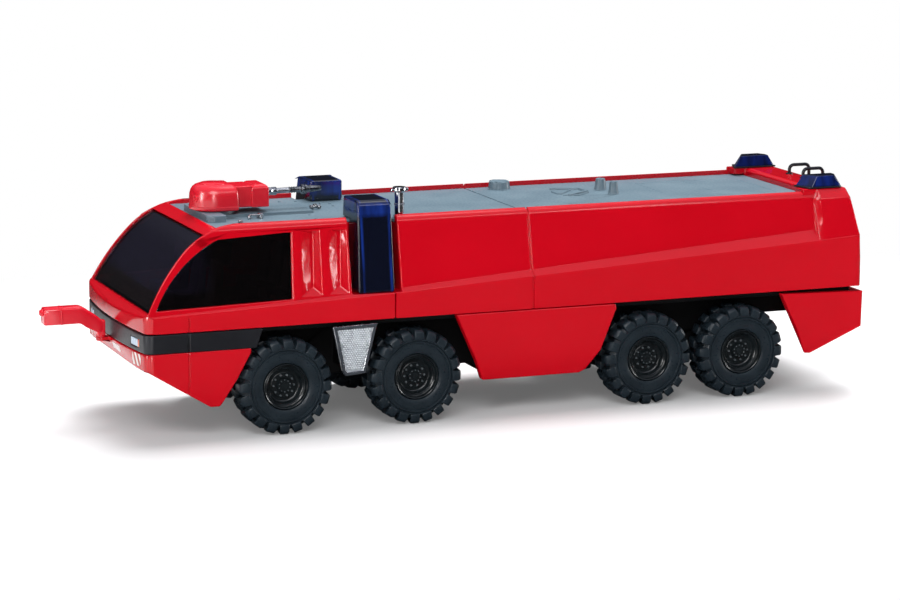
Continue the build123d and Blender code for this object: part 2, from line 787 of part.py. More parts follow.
# Bumper monitor: swivel post with its peg, elbow, square-bellied body and round nozzle cap
gun_low_z, gun_high_z = 17.1, 19.9
gun_rear_x, gun_front_x = 62.7, 68.9
gun_half = 1.2
nozzle_z = gun_high_z - 0.85
post_radius = 0.75
with BuildPart() as bumper_monitor:
    with Locations((swivel_x, 0, tongue_z)):
        Cylinder(swivel_peg, swivel_z - tongue_z, align=(Align.CENTER, Align.CENTER, Align.MIN))
    with BuildSketch(Plane.XY.offset(swivel_z)):
        with Locations((swivel_x, 0)):
            RegularPolygon(post_radius, 16)
    extrude(amount=gun_low_z - swivel_z)
    with BuildSketch(Plane.XZ):
        with BuildLine():
            Polyline(
                (swivel_x - 0.6, gun_low_z - 0.2),
                (swivel_x + 0.4, swivel_z + 0.6),
                (gun_rear_x + 1, gun_low_z),
                (gun_rear_x + 1, gun_high_z - 0.1),
                (gun_rear_x - 0.6, gun_high_z - 0.5),
                (swivel_x + 1.0, gun_high_z - 1.6),
                close=True,
            )
        make_face()
    extrude(amount=gun_half - 0.35, both=True)
    with BuildSketch(Plane.YZ.offset(gun_rear_x)) as gun:
        with Locations((0, (gun_low_z + gun_high_z) / 2)):
            Rectangle(2 * gun_half, gun_high_z - gun_low_z)
        chamfer(gun.vertices().group_by(Axis.Y)[-1], 0.6)
    extrude(amount=gun_front_x - gun_rear_x)
    with BuildSketch(Plane.YZ.offset(gun_front_x)):
        with Locations((0, nozzle_z)):
            RegularPolygon(0.55, 16)
    extrude(amount=0.55)
bumper_monitor.part.label = "bumper_monitor"
export_step(bumper_monitor.part, "parts/bumper_monitor.step")

# Turret housing: dome with a round front and a flat back, the breech box behind it and the peg below
dome_rear_x = turret_x - 3.1
dome_stations = [  # height above the dome's underside, inset of the wall
    (0.0, 0.0),
    (turret_height - 1.3, 0.0),
    (turret_height - 0.45, 0.4),
    (turret_height, 1.3),
]
dome_sides = 14
breech_rear_x = turret_x - 8.45
breech_half = 2.9
breech_low_z = turret_low_z + 0.2
breech_top_z = turret_low_z + turret_height - 0.35
with BuildPart() as turret_housing:
    for rise, inset in dome_stations:
        half = turret_half - inset
        with BuildSketch(Plane.XY.offset(turret_low_z + rise)):
            with BuildLine():
                Polyline(
                    (dome_rear_x + inset / 2, -half),
                    *[
                        (turret_x + half * math.sin(turn), -half * math.cos(turn))
                        for turn in [math.pi * k / dome_sides for k in range(dome_sides + 1)]
                    ],
                    (dome_rear_x + inset / 2, half),
                    close=True,
                )
            make_face()
    loft(ruled=True)
    with BuildSketch(Plane.YZ.offset(breech_rear_x)) as breech:
        with Locations((0, (breech_low_z + breech_top_z) / 2)):
            Rectangle(2 * breech_half, breech_top_z - breech_low_z)
        chamfer(breech.vertices().group_by(Axis.Y)[-1], 0.7)
    extrude(amount=turret_x - breech_rear_x)
    with Locations((turret_x, 0, deck_z + 0.1)):
        Cylinder(peg_radius, turret_low_z - deck_z, align=(Align.CENTER, Align.CENTER, Align.MIN))
turret_housing.part.label = "turret_housing"
export_step(turret_housing.part, "parts/turret_housing.step")

# Turret barrel: turned tube, slim stretch, collar and tapered nozzle
barrel_bands = [  # distances along the barrel where the band starts and ends, radius, taper in degrees
    (0.0, 2.0, 0.66, 0),
    (2.0, 6.2, 0.5, 0),
    (6.2, 6.8, 0.8, 0),
    (6.8, 9.7, 0.8, 8),
]
barrel_sides = 16
barrel_axis = Vector(-1, 0, barrel_tilt_rise).normalized()
barrel_start = Vector(breech_rear_x - 0.09, 0, turret_low_z + 2.25)
with BuildPart() as turret_barrel:
    for start, end, radius, taper in barrel_bands:
        with BuildSketch(Plane(barrel_start + barrel_axis * start, z_dir=barrel_axis)):
            RegularPolygon(radius, barrel_sides)
        extrude(amount=end - start, taper=taper)
turret_barrel.part.label = "turret_barrel"
export_step(turret_barrel.part, "parts/turret_barrel.step")

# Small chrome fittings on the cab deck
with BuildPart() as roof_fittings:
    for x, y, length, width, height in (
        (35.1, 5.6, 2.4, 0.6, 0.6),
        (34.3, 5.2, 0.6, 1.4, 0.9),
        (38.7, 8.6, 0.8, 0.6, 0.5),
        (22.9, -0.6, 2.0, 0.8, 0.6),
    ):
        with Locations((x, y, deck_z + fit)):
            Box(length, width, height, align=(Align.CENTER, Align.CENTER, Align.MIN))
roof_fittings.part.label = "roof_fittings"
export_step(roof_fittings.part, "parts/roof_fittings.step")

# Entry steps: bright tread plates with a raised rim, between the two front axles
step_outline = [  # x, z
    (step_x + 3.45, 17.0),
    (step_x - 4.05, 17.2),
    (step_x - 2.05, 9.2),
    (step_x + 1.35, 8.9),
    (step_x + 1.85, 9.8),
]
step_face = 0.7
for side, name in ((1, "left"), (-1, "right")):
    with BuildPart() as entry_step:
        with BuildSketch(Plane.XZ.offset(-side * (half_width - step_face))) as plate:
            with BuildLine():
                Polyline(*step_outline, close=True)
            make_face()
        extrude(amount=-side * step_face)
        with BuildSketch(Plane.XZ.offset(-side * (half_width - 0.2))):
            add(plate.sketch_local)
            offset(amount=-0.55, mode=Mode.REPLACE)
        extrude(amount=-side * 0.2, mode=Mode.SUBTRACT)
    entry_step.part.label = f"entry_step_{name}"
    export_step(entry_step.part, f"parts/entry_step_{name}.step")

# Side skirts between the axle pairs: bent plates with a bevelled leading edge
mid_top_z = sill_z - 0.15
mid_low_z = 6.2
mid_outline = [  # x, z
    (well_x + 14.05, mid_top_z),
    (well_x + 8.95, mid_low_z),
    (well_x - 8.35, mid_low_z),
    (well_x - 9.25, mid_low_z + 0.5),
    (well_x - 11.6, mid_low_z + 3.9),
    (well_x - 14.35, mid_top_z - 0.75),
    (well_x - 14.15, mid_top_z),
]
side_thick = 1.5
mid_bend_z = 10.3
mid_tuck = 1.35
for side, name in ((1, "left"), (-1, "right")):
    with BuildPart() as mid_skirt:
        with BuildSketch(Plane.XZ.offset(-side * (half_width - side_thick - mid_tuck))):
            with BuildLine():
                Polyline(*mid_outline, close=True)
            make_face()
        extrude(amount=-side * (side_thick + mid_tuck))
        with BuildSketch(Plane.YZ.offset(mid_outline[-2][0] - 1)):
            with BuildLine():
                Polyline(
                    (side * half_width, mid_top_z),
                    (side * half_width, mid_bend_z),
                    (side * (half_width - mid_tuck), mid_low_z),
                    (side * (half_width - mid_tuck - side_thick), mid_low_z),
                    (side * (half_width - side_thick), mid_bend_z),
                    (side * (half_width - side_thick), mid_top_z),
                    close=True,
                )
            make_face()
        extrude(amount=mid_outline[0][0] - mid_outline[-2][0] + 2, mode=Mode.INTERSECT)
    mid_skirt.part.label = f"mid_skirt_{name}"
    export_step(mid_skirt.part, f"parts/mid_skirt_{name}.step")

# Rear skirts: bent plates that wrap the corner and stop either side of the towing jaw
rear_top_z = sill_z - 0.5
rear_low_z = 6.5
rear_outline = [  # x, z
    (-53.9, rear_top_z),
    (-56.0, 13.1),
    (-59.2, rear_low_z + 0.1),
    (-60.3, rear_low_z),
    (-69.35, 10.9),
    (-69.45, rear_top_z - 0.4),
]
rear_bend_z = 10.7
rear_tuck = 1.3
rear_skirt_inner = half_width - 8.25
tail_lamp_y = (half_width - 5.85, half_width - 3.25)
tail_lamp_z = 14.4
tail_lamp_size = 1.9
tail_lamp_x = -69.45
tail_lamp_depth = 0.6
rear_wall = 1.55
rear_hollow = 14.0
for side, name in ((1, "left"), (-1, "right")):
    with BuildPart() as rear_skirt:
        with BuildSketch(Plane.XZ.offset(-side * rear_skirt_inner)):
            with BuildLine():
                Polyline(*rear_outline, close=True)
            make_face()
        extrude(amount=-side * (half_width - rear_skirt_inner))
        with BuildSketch(Plane.YZ.offset(tail_lamp_x)):
            with BuildLine():
                Polyline(
                    (side * half_width, rear_top_z),
                    (side * half_width, rear_bend_z),
                    (side * (half_width - rear_tuck), rear_low_z),
                    (side * rear_skirt_inner, rear_low_z),
                    (side * rear_skirt_inner, rear_top_z),
                    close=True,
                )
            make_face()
        extrude(amount=rear_outline[0][0] - tail_lamp_x, mode=Mode.INTERSECT)
        with BuildSketch(Plane.XY.offset(rear_low_z)):
            hollow_y = side * (rear_skirt_inner + half_width - side_thick) / 2
            with Locations((tail_lamp_x + rear_wall + rear_hollow / 2, hollow_y)):
                Rectangle(rear_hollow, half_width - side_thick - rear_skirt_inner)
        extrude(amount=rear_top_z - rear_low_z, mode=Mode.SUBTRACT)
        with BuildSketch(Plane.YZ.offset(tail_lamp_x)):
            with Locations(*[(side * y, tail_lamp_z) for y in tail_lamp_y]):
                Rectangle(tail_lamp_size + 2 * fit, tail_lamp_size + 2 * fit)
        extrude(amount=tail_lamp_depth + fit, mode=Mode.SUBTRACT)
    rear_skirt.part.label = f"rear_skirt_{name}"
    export_step(rear_skirt.part, f"parts/rear_skirt_{name}.step")

# Tail lamps set into the rear skirts' back faces
with BuildPart() as tail_lamps:
    with BuildSketch(Plane.YZ.offset(tail_lamp_x)):
        for side in (1, -1):
            with Locations(*[(side * y, tail_lamp_z) for y in tail_lamp_y]):
                Rectangle(tail_lamp_size, tail_lamp_size)
    extrude(amount=tail_lamp_depth)
tail_lamps.part.label = "tail_lamps"
export_step(tail_lamps.part, "parts/tail_lamps.step")

# Chassis: floor plate, deep spine, axle bearings, step hangers and the towing jaw
bearing_half = 2.3
bearing_low_z = 6.3
chassis_z = 8.0
overhang_z = 12.9
hanger_x = step_x - 0.3
hanger_length = 2.6
hanger_low_z = 9.8
jaw_x, jaw_z = tail_x + 0.9, 14.0
jaw_hole = 0.6
with BuildPart() as chassis:
    extrude(plan_outline(floor_z, skirt_thick + fit), amount=floor_thick)
    with BuildSketch(Plane.XZ):
        with BuildLine():
            Polyline(
                (nose_x - 2.55, floor_z),
                (nose_x - 2.55, 12.5),
                (nose_x - 11.65, chassis_z),
                (well_x + 8.9, chassis_z),
                (well_x + 6.65, chassis_z - 1.2),
                (well_x + 5.45, chassis_z - 2.5),
                (well_x - 10.45, chassis_z - 2.5),
                (well_x - 13.95, chassis_z),
                (axle_x[3] - 4.1, chassis_z),
                (axle_x[3] - 6.7, overhang_z),
                (tail_x + 1.8, overhang_z),
                (tail_x + 1.8, floor_z),
                close=True,
            )
        make_face()
    extrude(amount=chassis_half, both=True)
    for x in axle_x:
        with BuildSketch(Plane.XY.offset(bearing_low_z)):
            with Locations((x, 0)):
                Rectangle(2 * bearing_half, 2 * chassis_half)
        extrude(amount=floor_z - bearing_low_z)
    for side in (1, -1):
        with BuildSketch(Plane.XY.offset(hanger_low_z)):
            with Locations((hanger_x, side * (chassis_half + half_width - step_face - fit) / 2)):
                Rectangle(hanger_length, half_width - step_face - fit - chassis_half)
        extrude(amount=floor_z - hanger_low_z)
    with BuildSketch(Plane.XY.offset(jaw_z)):
        with Locations((jaw_x + 0.3, 0)):
            Rectangle(2.4, 3.2)
    extrude(amount=1.2)
    with Locations((jaw_x, 0, jaw_z)):
        Cylinder(jaw_hole, 1.2, align=(Align.CENTER, Align.CENTER, Align.MIN), mode=Mode.SUBTRACT)
    for x in axle_x:
        with Locations(Location((x, 0, tyre_radius), (90, 0, 0))):
            Cylinder(axle_radius + bearing_gap, 2 * chassis_half + 1, mode=Mode.SUBTRACT)
chassis.part.label = "chassis"
export_step(chassis.part, "parts/chassis.step")

# One rim, centred on its own axle with its outer side at +Y: a drum with a dished face and a raised hub
mid_y = tyre_outer_y - tyre_width / 2
rim_sides = 24
rim_inner_y = mid_y - 2.3
rim_outer_y = mid_y + 2.5
dish_radius, dish_depth, dish_taper = 3.4, 1.5, 22
hub_radius, hub_height, hub_taper = 1.9, 0.75, 12
with BuildPart() as rim_form:
    with BuildSketch(Plane.XZ.offset(-rim_outer_y)):
        RegularPolygon(rim_radius, rim_sides)
    extrude(amount=rim_outer_y - rim_inner_y)
    with BuildSketch(Plane.XZ.offset(-rim_outer_y)):
        RegularPolygon(dish_radius, rim_sides)
    extrude(amount=dish_depth, taper=dish_taper, mode=Mode.SUBTRACT)
    with BuildSketch(Plane(origin=(0, rim_outer_y - dish_depth, 0), x_dir=(1, 0, 0), z_dir=(0, 1, 0))):
        RegularPolygon(hub_radius, rim_sides)
    extrude(amount=hub_height, taper=hub_taper)

# One tyre: two rows of blocky lugs, half a pitch apart, and a raised ring on its outer wall
lug_tip = 0.4
lug_foot = 0.5
wall_ring_radius = 5.75
wall_ring_rise = 0.15
tread_half = tyre_width / 2 - wall_ring_rise
lug_pitch = 360 / lug_count
with BuildPart() as tyre_form:
    for start, length, share in ((mid_y - tread_half, tread_half, 0.5), (mid_y, tread_half, 0.0)):
        teeth = []
        for lug in range(lug_count):
            for radius, angle in (
                (tread_radius, -lug_foot / 2),
                (tyre_radius, -lug_tip / 2),
                (tyre_radius, lug_tip / 2),
                (tread_radius, lug_foot / 2),
            ):
                turn = math.radians((lug + share + angle) * lug_pitch)
                teeth.append((radius * math.cos(turn), radius * math.sin(turn)))
        with BuildSketch(Plane(origin=(0, start, 0), x_dir=(1, 0, 0), z_dir=(0, 1, 0))):
            with BuildLine():
                Polyline(*teeth, close=True)
            make_face()
        extrude(amount=length)
    with BuildSketch(Plane(origin=(0, mid_y, 0), x_dir=(1, 0, 0), z_dir=(0, 1, 0))):
        RegularPolygon(wall_ring_radius, lug_count)
    extrude(amount=tyre_width / 2)
    with BuildSketch(Plane.XZ.offset(-mid_y)):
        RegularPolygon(rim_radius, rim_sides)
    extrude(amount=tyre_width / 2, both=True, mode=Mode.SUBTRACT)

# Running gear: for each axle a rod with its two rims, and a pair of tyres
for index, x in enumerate(axle_x, start=1):
    hub = Location((x, 0, tyre_radius))
    other_side = Location((x, 0, tyre_radius), (0, 0, 180))
    with BuildPart() as wheelset:
        add(rim_form.part.moved(hub))
        add(rim_form.part.moved(other_side))
        with Locations(Location((x, 0, tyre_radius), (90, 0, 0))):
            Cylinder(axle_radius, 2 * mid_y)
    wheelset.part.label = f"wheelset_{index}"
    export_step(wheelset.part, f"parts/wheelset_{index}.step")

    with BuildPart() as tyres:
        add(tyre_form.part.moved(hub))
        add(tyre_form.part.moved(other_side))
    tyres.part.label = f"tyres_{index}"
    export_step(tyres.part, f"parts/tyres_{index}.step")
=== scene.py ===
"""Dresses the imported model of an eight-wheeled airport fire truck, a collector's scale model, and lights it.

Sizes in the classes below are in millimetres on the model. Meshes are made in metres, in the frame's own axes:
+X forward, +Y to the left side, +Z up, with the wheels on Z = 0. A section is a row of points, each a radius and a
distance along the axis, that is turned round the axis.
"""

from __future__ import annotations

import json
import logging
import math
from dataclasses import dataclass
from enum import Enum
from typing import Any, Callable, Sequence

import bmesh
import bpy
from mathutils import Matrix, Vector, geometry
from mathutils.bvhtree import BVHTree

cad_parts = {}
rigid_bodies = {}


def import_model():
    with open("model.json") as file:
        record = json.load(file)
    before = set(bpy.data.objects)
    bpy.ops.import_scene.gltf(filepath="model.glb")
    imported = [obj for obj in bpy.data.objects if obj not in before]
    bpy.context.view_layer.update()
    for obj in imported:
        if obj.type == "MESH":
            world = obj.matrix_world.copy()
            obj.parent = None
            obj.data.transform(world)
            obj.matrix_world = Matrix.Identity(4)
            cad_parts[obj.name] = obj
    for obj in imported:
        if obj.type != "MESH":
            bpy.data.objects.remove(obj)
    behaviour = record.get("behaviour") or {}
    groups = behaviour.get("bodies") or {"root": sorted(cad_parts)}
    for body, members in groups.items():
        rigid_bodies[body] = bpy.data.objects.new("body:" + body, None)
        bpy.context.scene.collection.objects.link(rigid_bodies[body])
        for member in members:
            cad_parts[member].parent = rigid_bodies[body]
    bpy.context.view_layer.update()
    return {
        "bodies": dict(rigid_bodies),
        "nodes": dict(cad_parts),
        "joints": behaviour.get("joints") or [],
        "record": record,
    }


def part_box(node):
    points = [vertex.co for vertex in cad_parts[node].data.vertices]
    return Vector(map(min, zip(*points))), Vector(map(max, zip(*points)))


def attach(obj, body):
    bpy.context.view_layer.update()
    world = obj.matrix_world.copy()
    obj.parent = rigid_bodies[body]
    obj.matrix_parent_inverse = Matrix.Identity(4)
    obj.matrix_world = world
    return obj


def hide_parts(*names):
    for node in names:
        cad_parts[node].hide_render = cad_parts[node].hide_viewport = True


MM = 0.001
LOG = logging.getLogger("airport_fire_truck")
Point = tuple[float, float, float]
Pair = tuple[float, float]
Colour = tuple[float, float, float]
Section = Sequence[Pair]
Node = bpy.types.Node
Socket = bpy.types.NodeSocket
Piece = bpy.types.Object
Work = bmesh.types.BMesh
Vert = bmesh.types.BMVert
Edge = bmesh.types.BMEdge
Face = bmesh.types.BMFace
ROUNDED_FROM = math.radians(24.0)  # edges between faces at a smaller angle are not rounded
SHARP_FROM = math.radians(62.0)  # edges of area-weighted pieces at a larger angle stay sharp
FACE_WEIGHT = 80
OPEN_CORNER = math.radians(150)  # edges that meet at a larger angle leave each other room
ROOM_AT_CORNER = 0.45  # share of an edge's length that a rounding may take at a corner
ROOM_ACROSS = 0.42  # share of the gap to the next edge that it may take
BESIDE = 0.85  # an edge further along than this share of its distance is not beside
WELD = 2e-6
RAY_START = 0.1  # metres ahead of the frame's middle
SHEET_SUNK = 0.02


class Body(Enum):
    """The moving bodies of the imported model."""

    VEHICLE = "vehicle"
    TURRET = "roof_turret"
    MONITOR = "bumper_monitor"
    AXLE_1 = "axle_1"
    AXLE_2 = "axle_2"
    AXLE_3 = "axle_3"
    AXLE_4 = "axle_4"


class Side(Enum):
    """The two sides of the truck, as the sign of Y."""

    LEFT = 1
    RIGHT = -1


# Finishes


class NodeTree:
    """A node tree with short ways to add nodes and feed their inputs."""

    def __init__(self, tree: bpy.types.NodeTree) -> None:
        """Takes a tree over and empties it.

        Args:
            tree: the tree of a material, a world or a modifier.
        """
        self.tree = tree
        tree.nodes.clear()

    def feed(self, node: Node, key: int | str, value: Any) -> None:
        """Sets one input of a node to a value, or links it when the value is another node's output."""
        if isinstance(value, bpy.types.NodeSocket):
            self.tree.links.new(value, node.inputs[key])
        else:
            node.inputs[key].default_value = value

    def add(self, kind: str, inputs: dict[int | str, Any] | None = None, **settings: Any) -> Node:
        """Adds a node.

        Args:
            kind: the node's type name.
            inputs: a value or another node's output for each input, by name or number.
            settings: properties to set on it first.

        Returns:
            The new node.
        """
        node = self.tree.nodes.new(kind)
        for key, value in settings.items():
            setattr(node, key, value)
        for key, value in (inputs or {}).items():
            self.feed(node, key, value)
        return node

    def maths(self, operation: str, *values: float | Socket) -> Socket:
        """Adds one sum on up to three numbers or outputs, and returns its result."""
        return self.add("ShaderNodeMath", dict(enumerate(values)), operation=operation).outputs[0]

    def product(self, first: float | Socket, *others: float | Socket) -> Socket:
        """Multiplies numbers or outputs, from the left."""
        for other in others:
            first = self.maths("MULTIPLY", first, other)
        return first

    def spread(self, source: Socket, low: float, high: float, start: float = 0.3, end: float = 0.7,
               **settings: Any) -> Socket:
        """Adds a range change.

        Args:
            source: the value to change.
            low: the result at the start.
            high: the result at the end.
            start: where the source's range starts.
            end: where it ends.
            settings: properties of the node.

        Returns:
            The result.
        """
        return self.add("ShaderNodeMapRange", {"Value": source, "From Min": start, "From Max": end,
                                               "To Min": low, "To Max": high}, **settings).outputs[0]

    def blend(self, factor: Socket, first: Colour | Socket, second: Colour) -> Socket:
        """Adds a mix of two colours.

        Args:
            factor: how much of the second colour shows.
            first: the colour at factor 0, or an output that gives it.
            second: the colour at factor 1.

        Returns:
            The mixed colour.
        """
        first = (*first, 1.0) if isinstance(first, tuple) else first
        return self.add("ShaderNodeMix", {0: factor, 6: first, 7: (*second, 1.0)}, data_type="RGBA").outputs[2]


class NodeSheet(NodeTree):
    """A material's nodes round one Principled shader."""

    def __init__(self, name: str) -> None:
        """Starts a material.

        Args:
            name: the material's name.
        """
        self.material = bpy.data.materials.new(name)
        self.material.use_nodes = True
        super().__init__(self.material.node_tree)
        self.shader = self.add("ShaderNodeBsdfPrincipled")
        self.out = self.add("ShaderNodeOutputMaterial", {0: self.shader.outputs[0]})
        self.place = self.add("ShaderNodeTexCoord").outputs

    def split(self, kind: str = "Object") -> Any:
        """Returns the X, Y and Z outputs of the object coordinates, or of the normal."""
        return self.add("ShaderNodeSeparateXYZ", {0: self.place[kind]}).outputs

    def scaled(self, scale: Point) -> Socket:
        """Returns the object coordinates times a scale."""
        return self.add("ShaderNodeMapping", {"Vector": self.place["Object"], "Scale": scale}).outputs[0]

    def noise(self, scale: float, detail: float = 2.0, at: Socket | None = None) -> Socket:
        """Adds a noise pattern.

        Args:
            scale: cells per metre.
            detail: octaves.
            at: its coordinates, or None for the object's.

        Returns:
            Its value.
        """
        at = at or self.place["Object"]
        return self.add("ShaderNodeTexNoise", {"Scale": scale, "Detail": detail, "Vector": at}).outputs[0]

    def shade(self, **values: Any) -> None:
        """Feeds the shader's inputs, with underscores for the spaces in their names."""
        for key, value in values.items():
            self.feed(self.shader, key.replace("_", " "), value)


@dataclass(frozen=True)
class Finish:
    """A surface finish with a soft cloud of a second tone and a fine relief."""

    name: str
    slot: str
    colour: Colour
    second: Colour
    rough: Pair
    cloud: float = 90.0
    grain: float = 2600.0
    relief: float = 0.004
    strength: float = 0.2
    metallic: float = 0.0
    coat: float = 0.0
    transmission: float = 0.0
    ior: float = 1.5
    specular: float = 0.5

    def sheet(self) -> NodeSheet:
        """Builds the common part of the finish's nodes."""
        sheet = NodeSheet(self.name)
        grain = sheet.noise(self.grain)
        tone = sheet.spread(sheet.noise(self.cloud, 3.0), 0.0, 1.0, 0.35, 0.65)
        bump = sheet.add("ShaderNodeBump", {"Strength": self.strength, "Distance": self.relief * MM, "Height": grain})
        sheet.shade(Base_Color=sheet.blend(tone, self.colour, self.second), Roughness=sheet.spread(grain, *self.rough),
                    Normal=bump.outputs[0], Metallic=self.metallic, IOR=self.ior, Coat_Weight=self.coat,
                    Coat_Roughness=0.05, Transmission_Weight=self.transmission, Specular_IOR_Level=self.specular)
        return sheet

    def material(self) -> bpy.types.Material:
        """Returns the finish's material, made on its first use."""
        return bpy.data.materials.get(self.name) or self.sheet().material


@dataclass(frozen=True)
class LensFinish(Finish):
    """Deep blue moulded lens, near black, with painted light: blue painted on its upright faces high up in fine
    streaks, and, when reach is set, along their two upright edges, for light passing through the lens; faces looking
    up stay near black.
    """

    # glow is the blue of the painted light that stands in for light passing through the lens; the lens is no lamp
    glow: Colour = (0.009, 0.032, 0.225)
    low: float = 33.9
    high: float = 34.7
    streak: float = 620.0
    middle: float = 18.4
    reach: float = 2.6  # from the lens's middle to its upright edges, or 0 for none

    def sheet(self) -> NodeSheet:
        """Adds the painted blue light, on the upright faces and along their two upright edges, to the common part."""
        sheet = super().sheet()
        split = sheet.split()
        height = sheet.spread(split["Z"], 0.0, 1.0, self.low * MM, self.high * MM)
        upright = sheet.spread(sheet.split("Normal")["Z"], 1.0, 0.0, 0.45, 0.8)
        streaks = sheet.noise(self.streak, at=sheet.scaled((1.0, 1.0, 0.12)))
        light = sheet.spread(streaks, 0.25, 1.0, 0.36, 0.62)
        share = sheet.product(light, height, upright)
        if self.reach:
            across = sheet.maths("ABSOLUTE", sheet.maths("SUBTRACT", split["X"], self.middle * MM))
            rise = sheet.spread(across, 0.0, 1.0, (self.reach - 0.6) * MM, (self.reach - 0.25) * MM)
            fall = sheet.spread(across, 1.0, 0.0, (self.reach - 0.2) * MM, self.reach * MM)
            share = sheet.maths("MAXIMUM", share, sheet.product(light, rise, fall))
        # paints the blue light on the upright faces and edges
        sheet.shade(Base_Color=sheet.blend(share, self.colour, self.glow))
        return sheet


@dataclass(frozen=True)
class GlassFinish(Finish):
    """Smoked glazing, near-black, with a painted reflection: a violet tint painted on the windscreen's upper part,
    above a wavering line.
    """

    # violet tint of a reflection painted on the windscreen's upper part
    reflection_tint: Colour = (0.105, 0.092, 0.140)
    low: float = 24.3
    high: float = 25.3
    waver: float = 1.6
    front: Pair = (45.0, 47.0)

    def sheet(self) -> NodeSheet:
        """Adds the painted reflection on the windscreen's upper part to the common part."""
        sheet = super().sheet()
        split = sheet.split()
        lifted = sheet.maths("MULTIPLY_ADD", sheet.noise(170.0, 1.0), self.waver * MM, split["Z"])
        upper = sheet.spread(lifted, 0.0, 1.0, self.low * MM, self.high * MM)
        ahead = sheet.spread(split["X"], 0.0, 1.0, self.front[0] * MM, self.front[1] * MM)
        sheet.shade(Base_Color=sheet.blend(sheet.product(upper, ahead), self.colour, self.reflection_tint))
        return sheet


@dataclass(frozen=True)
class StripeFinish(Finish):
    """Two colours in diagonal bars that lean the same way on either side of the middle."""

    bar: Colour = (0.82, 0.79, 0.77)
    pitch: float = 1.5
    lean: float = 0.62

    def sheet(self) -> NodeSheet:
        """Adds the bars to the common part."""
        sheet = super().sheet()
        split = sheet.split()
        along = sheet.maths("MULTIPLY_ADD", split["Z"], self.lean, sheet.maths("ABSOLUTE", split["Y"]))
        steps = sheet.maths("PINGPONG", along, self.pitch / 2 * MM)
        edge = self.pitch / 4 * MM
        share = sheet.spread(steps, 0.0, 1.0, edge * 0.94, edge * 1.06)
        sheet.shade(Base_Color=sheet.blend(share, self.colour, self.bar))
        return sheet


RED = Finish("signal_red_paint", "red_paint", (0.565, 0.0012, 0.0095), (0.530, 0.0008, 0.0080), (0.10, 0.16),
             cloud=60.0, grain=1500.0, relief=0.003, strength=0.10)
RAW_RED = Finish("raw_red_moulding", "red_paint", (0.720, 0.0060, 0.0220), (0.680, 0.0050, 0.0190), (0.21, 0.25),
                 cloud=220.0, grain=1700.0, relief=0.003, strength=0.02, specular=0.75)
GLAZING = GlassFinish("smoked_glazing", "dark_glazing", (0.070, 0.052, 0.048), (0.085, 0.064, 0.058), (0.02, 0.05),
                      grain=900.0, relief=0.001, strength=0.04, transmission=1.0, ior=1.45)
SATIN_BLACK = Finish("satin_black_moulding", "black_plastic", (0.0085, 0.0090, 0.0125), (0.0125, 0.0130, 0.0175),
                     (0.30, 0.42), relief=0.003, strength=0.12, specular=0.35)
UNDER_BLACK = Finish("chassis_black", "black_plastic", (0.0035, 0.0035, 0.004), (0.006, 0.006, 0.007), (0.42, 0.6),
                     relief=0.006, strength=0.3, specular=0.1)
DECK_GREY = Finish("slate_grey_deck", "grey_deck", (0.120, 0.178, 0.220), (0.150, 0.214, 0.258), (0.36, 0.54),
                   cloud=150.0, grain=2200.0, relief=0.008, strength=0.35, specular=0.35)
CHROME = Finish("bright_plating", "chrome", (0.66, 0.67, 0.69), (0.30, 0.31, 0.34), (0.08, 0.22),
                cloud=700.0, grain=1500.0, relief=0.012, strength=0.4, metallic=1.0)
DULL_CHROME = Finish("rough_plating", "chrome", (0.66, 0.67, 0.68), (0.16, 0.17, 0.18), (0.14, 0.42),
                     cloud=1900.0, grain=2300.0, relief=0.05, strength=0.9, metallic=1.0)
# Both lens finishes paint blue light on their upright faces high up (LensFinish)
BLUE_LENS = LensFinish("deep_blue_lens", "blue_lens", (0.0030, 0.0042, 0.0120), (0.0024, 0.0034, 0.0110),
                       (0.05, 0.11), grain=900.0, relief=0.002, strength=0.06, coat=0.2)
CORNER_LENS = LensFinish("corner_blue_lens", "blue_lens", (0.0018, 0.0030, 0.0150), (0.0018, 0.0025, 0.0100),
                         (0.08, 0.16), grain=1200.0, relief=0.004, strength=0.1, glow=(0.006, 0.018, 0.150),
                         low=34.70, high=34.95, streak=900.0, reach=0.0)
RUBBER = Finish("moulded_rubber", "tyre_rubber", (0.0100, 0.0170, 0.0235), (0.0150, 0.0240, 0.0320), (0.26, 0.38),
                cloud=350.0, grain=3200.0, relief=0.008, strength=0.35, specular=0.3)
RIM_BLACK = Finish("rim_charcoal", "black_plastic", (0.0050, 0.0072, 0.0085), (0.0085, 0.0120, 0.0140),
                   (0.16, 0.26), cloud=500.0, relief=0.002, strength=0.1, specular=0.45)
# The wheel nuts are black plastic like the rim; this lighter grey paints a glint on them.
NUT_PAINTED_GLINT = Finish("wheel_nut_steel", "black_plastic", (0.055, 0.066, 0.074), (0.110, 0.124, 0.134), (0.16, 0.3),
                   cloud=1500.0, strength=0.3)
STEP_FRAME = Finish("step_frame_grey", "silver_tread", (0.035, 0.042, 0.052), (0.050, 0.058, 0.070), (0.18, 0.3),
                    cloud=500.0)
TREAD_SILVER = Finish("tread_silver", "silver_tread", (0.90, 0.93, 0.96), (0.66, 0.70, 0.75), (0.22, 0.45),
                      cloud=1400.0, grain=3000.0, relief=0.01, strength=0.4, metallic=0.15)
TREAD_FLOOR = Finish("tread_floor", "silver_tread", (0.54, 0.58, 0.62), (0.30, 0.33, 0.36), (0.25, 0.4),
                     cloud=900.0, grain=3000.0, relief=0.006, strength=0.3, metallic=0.2)
GUNMETAL = Finish("dark_plating", "chrome", (0.07, 0.075, 0.08), (0.30, 0.31, 0.33), (0.16, 0.34),
                  cloud=1100.0, grain=2300.0, relief=0.02, strength=0.6, metallic=1.0)
LAMP_CLEAR = Finish("clear_lamp", "clear_lens", (0.40, 0.52, 0.66), (0.52, 0.62, 0.72), (0.10, 0.3),
                    cloud=1500.0, grain=3000.0, relief=0.006, strength=0.3)
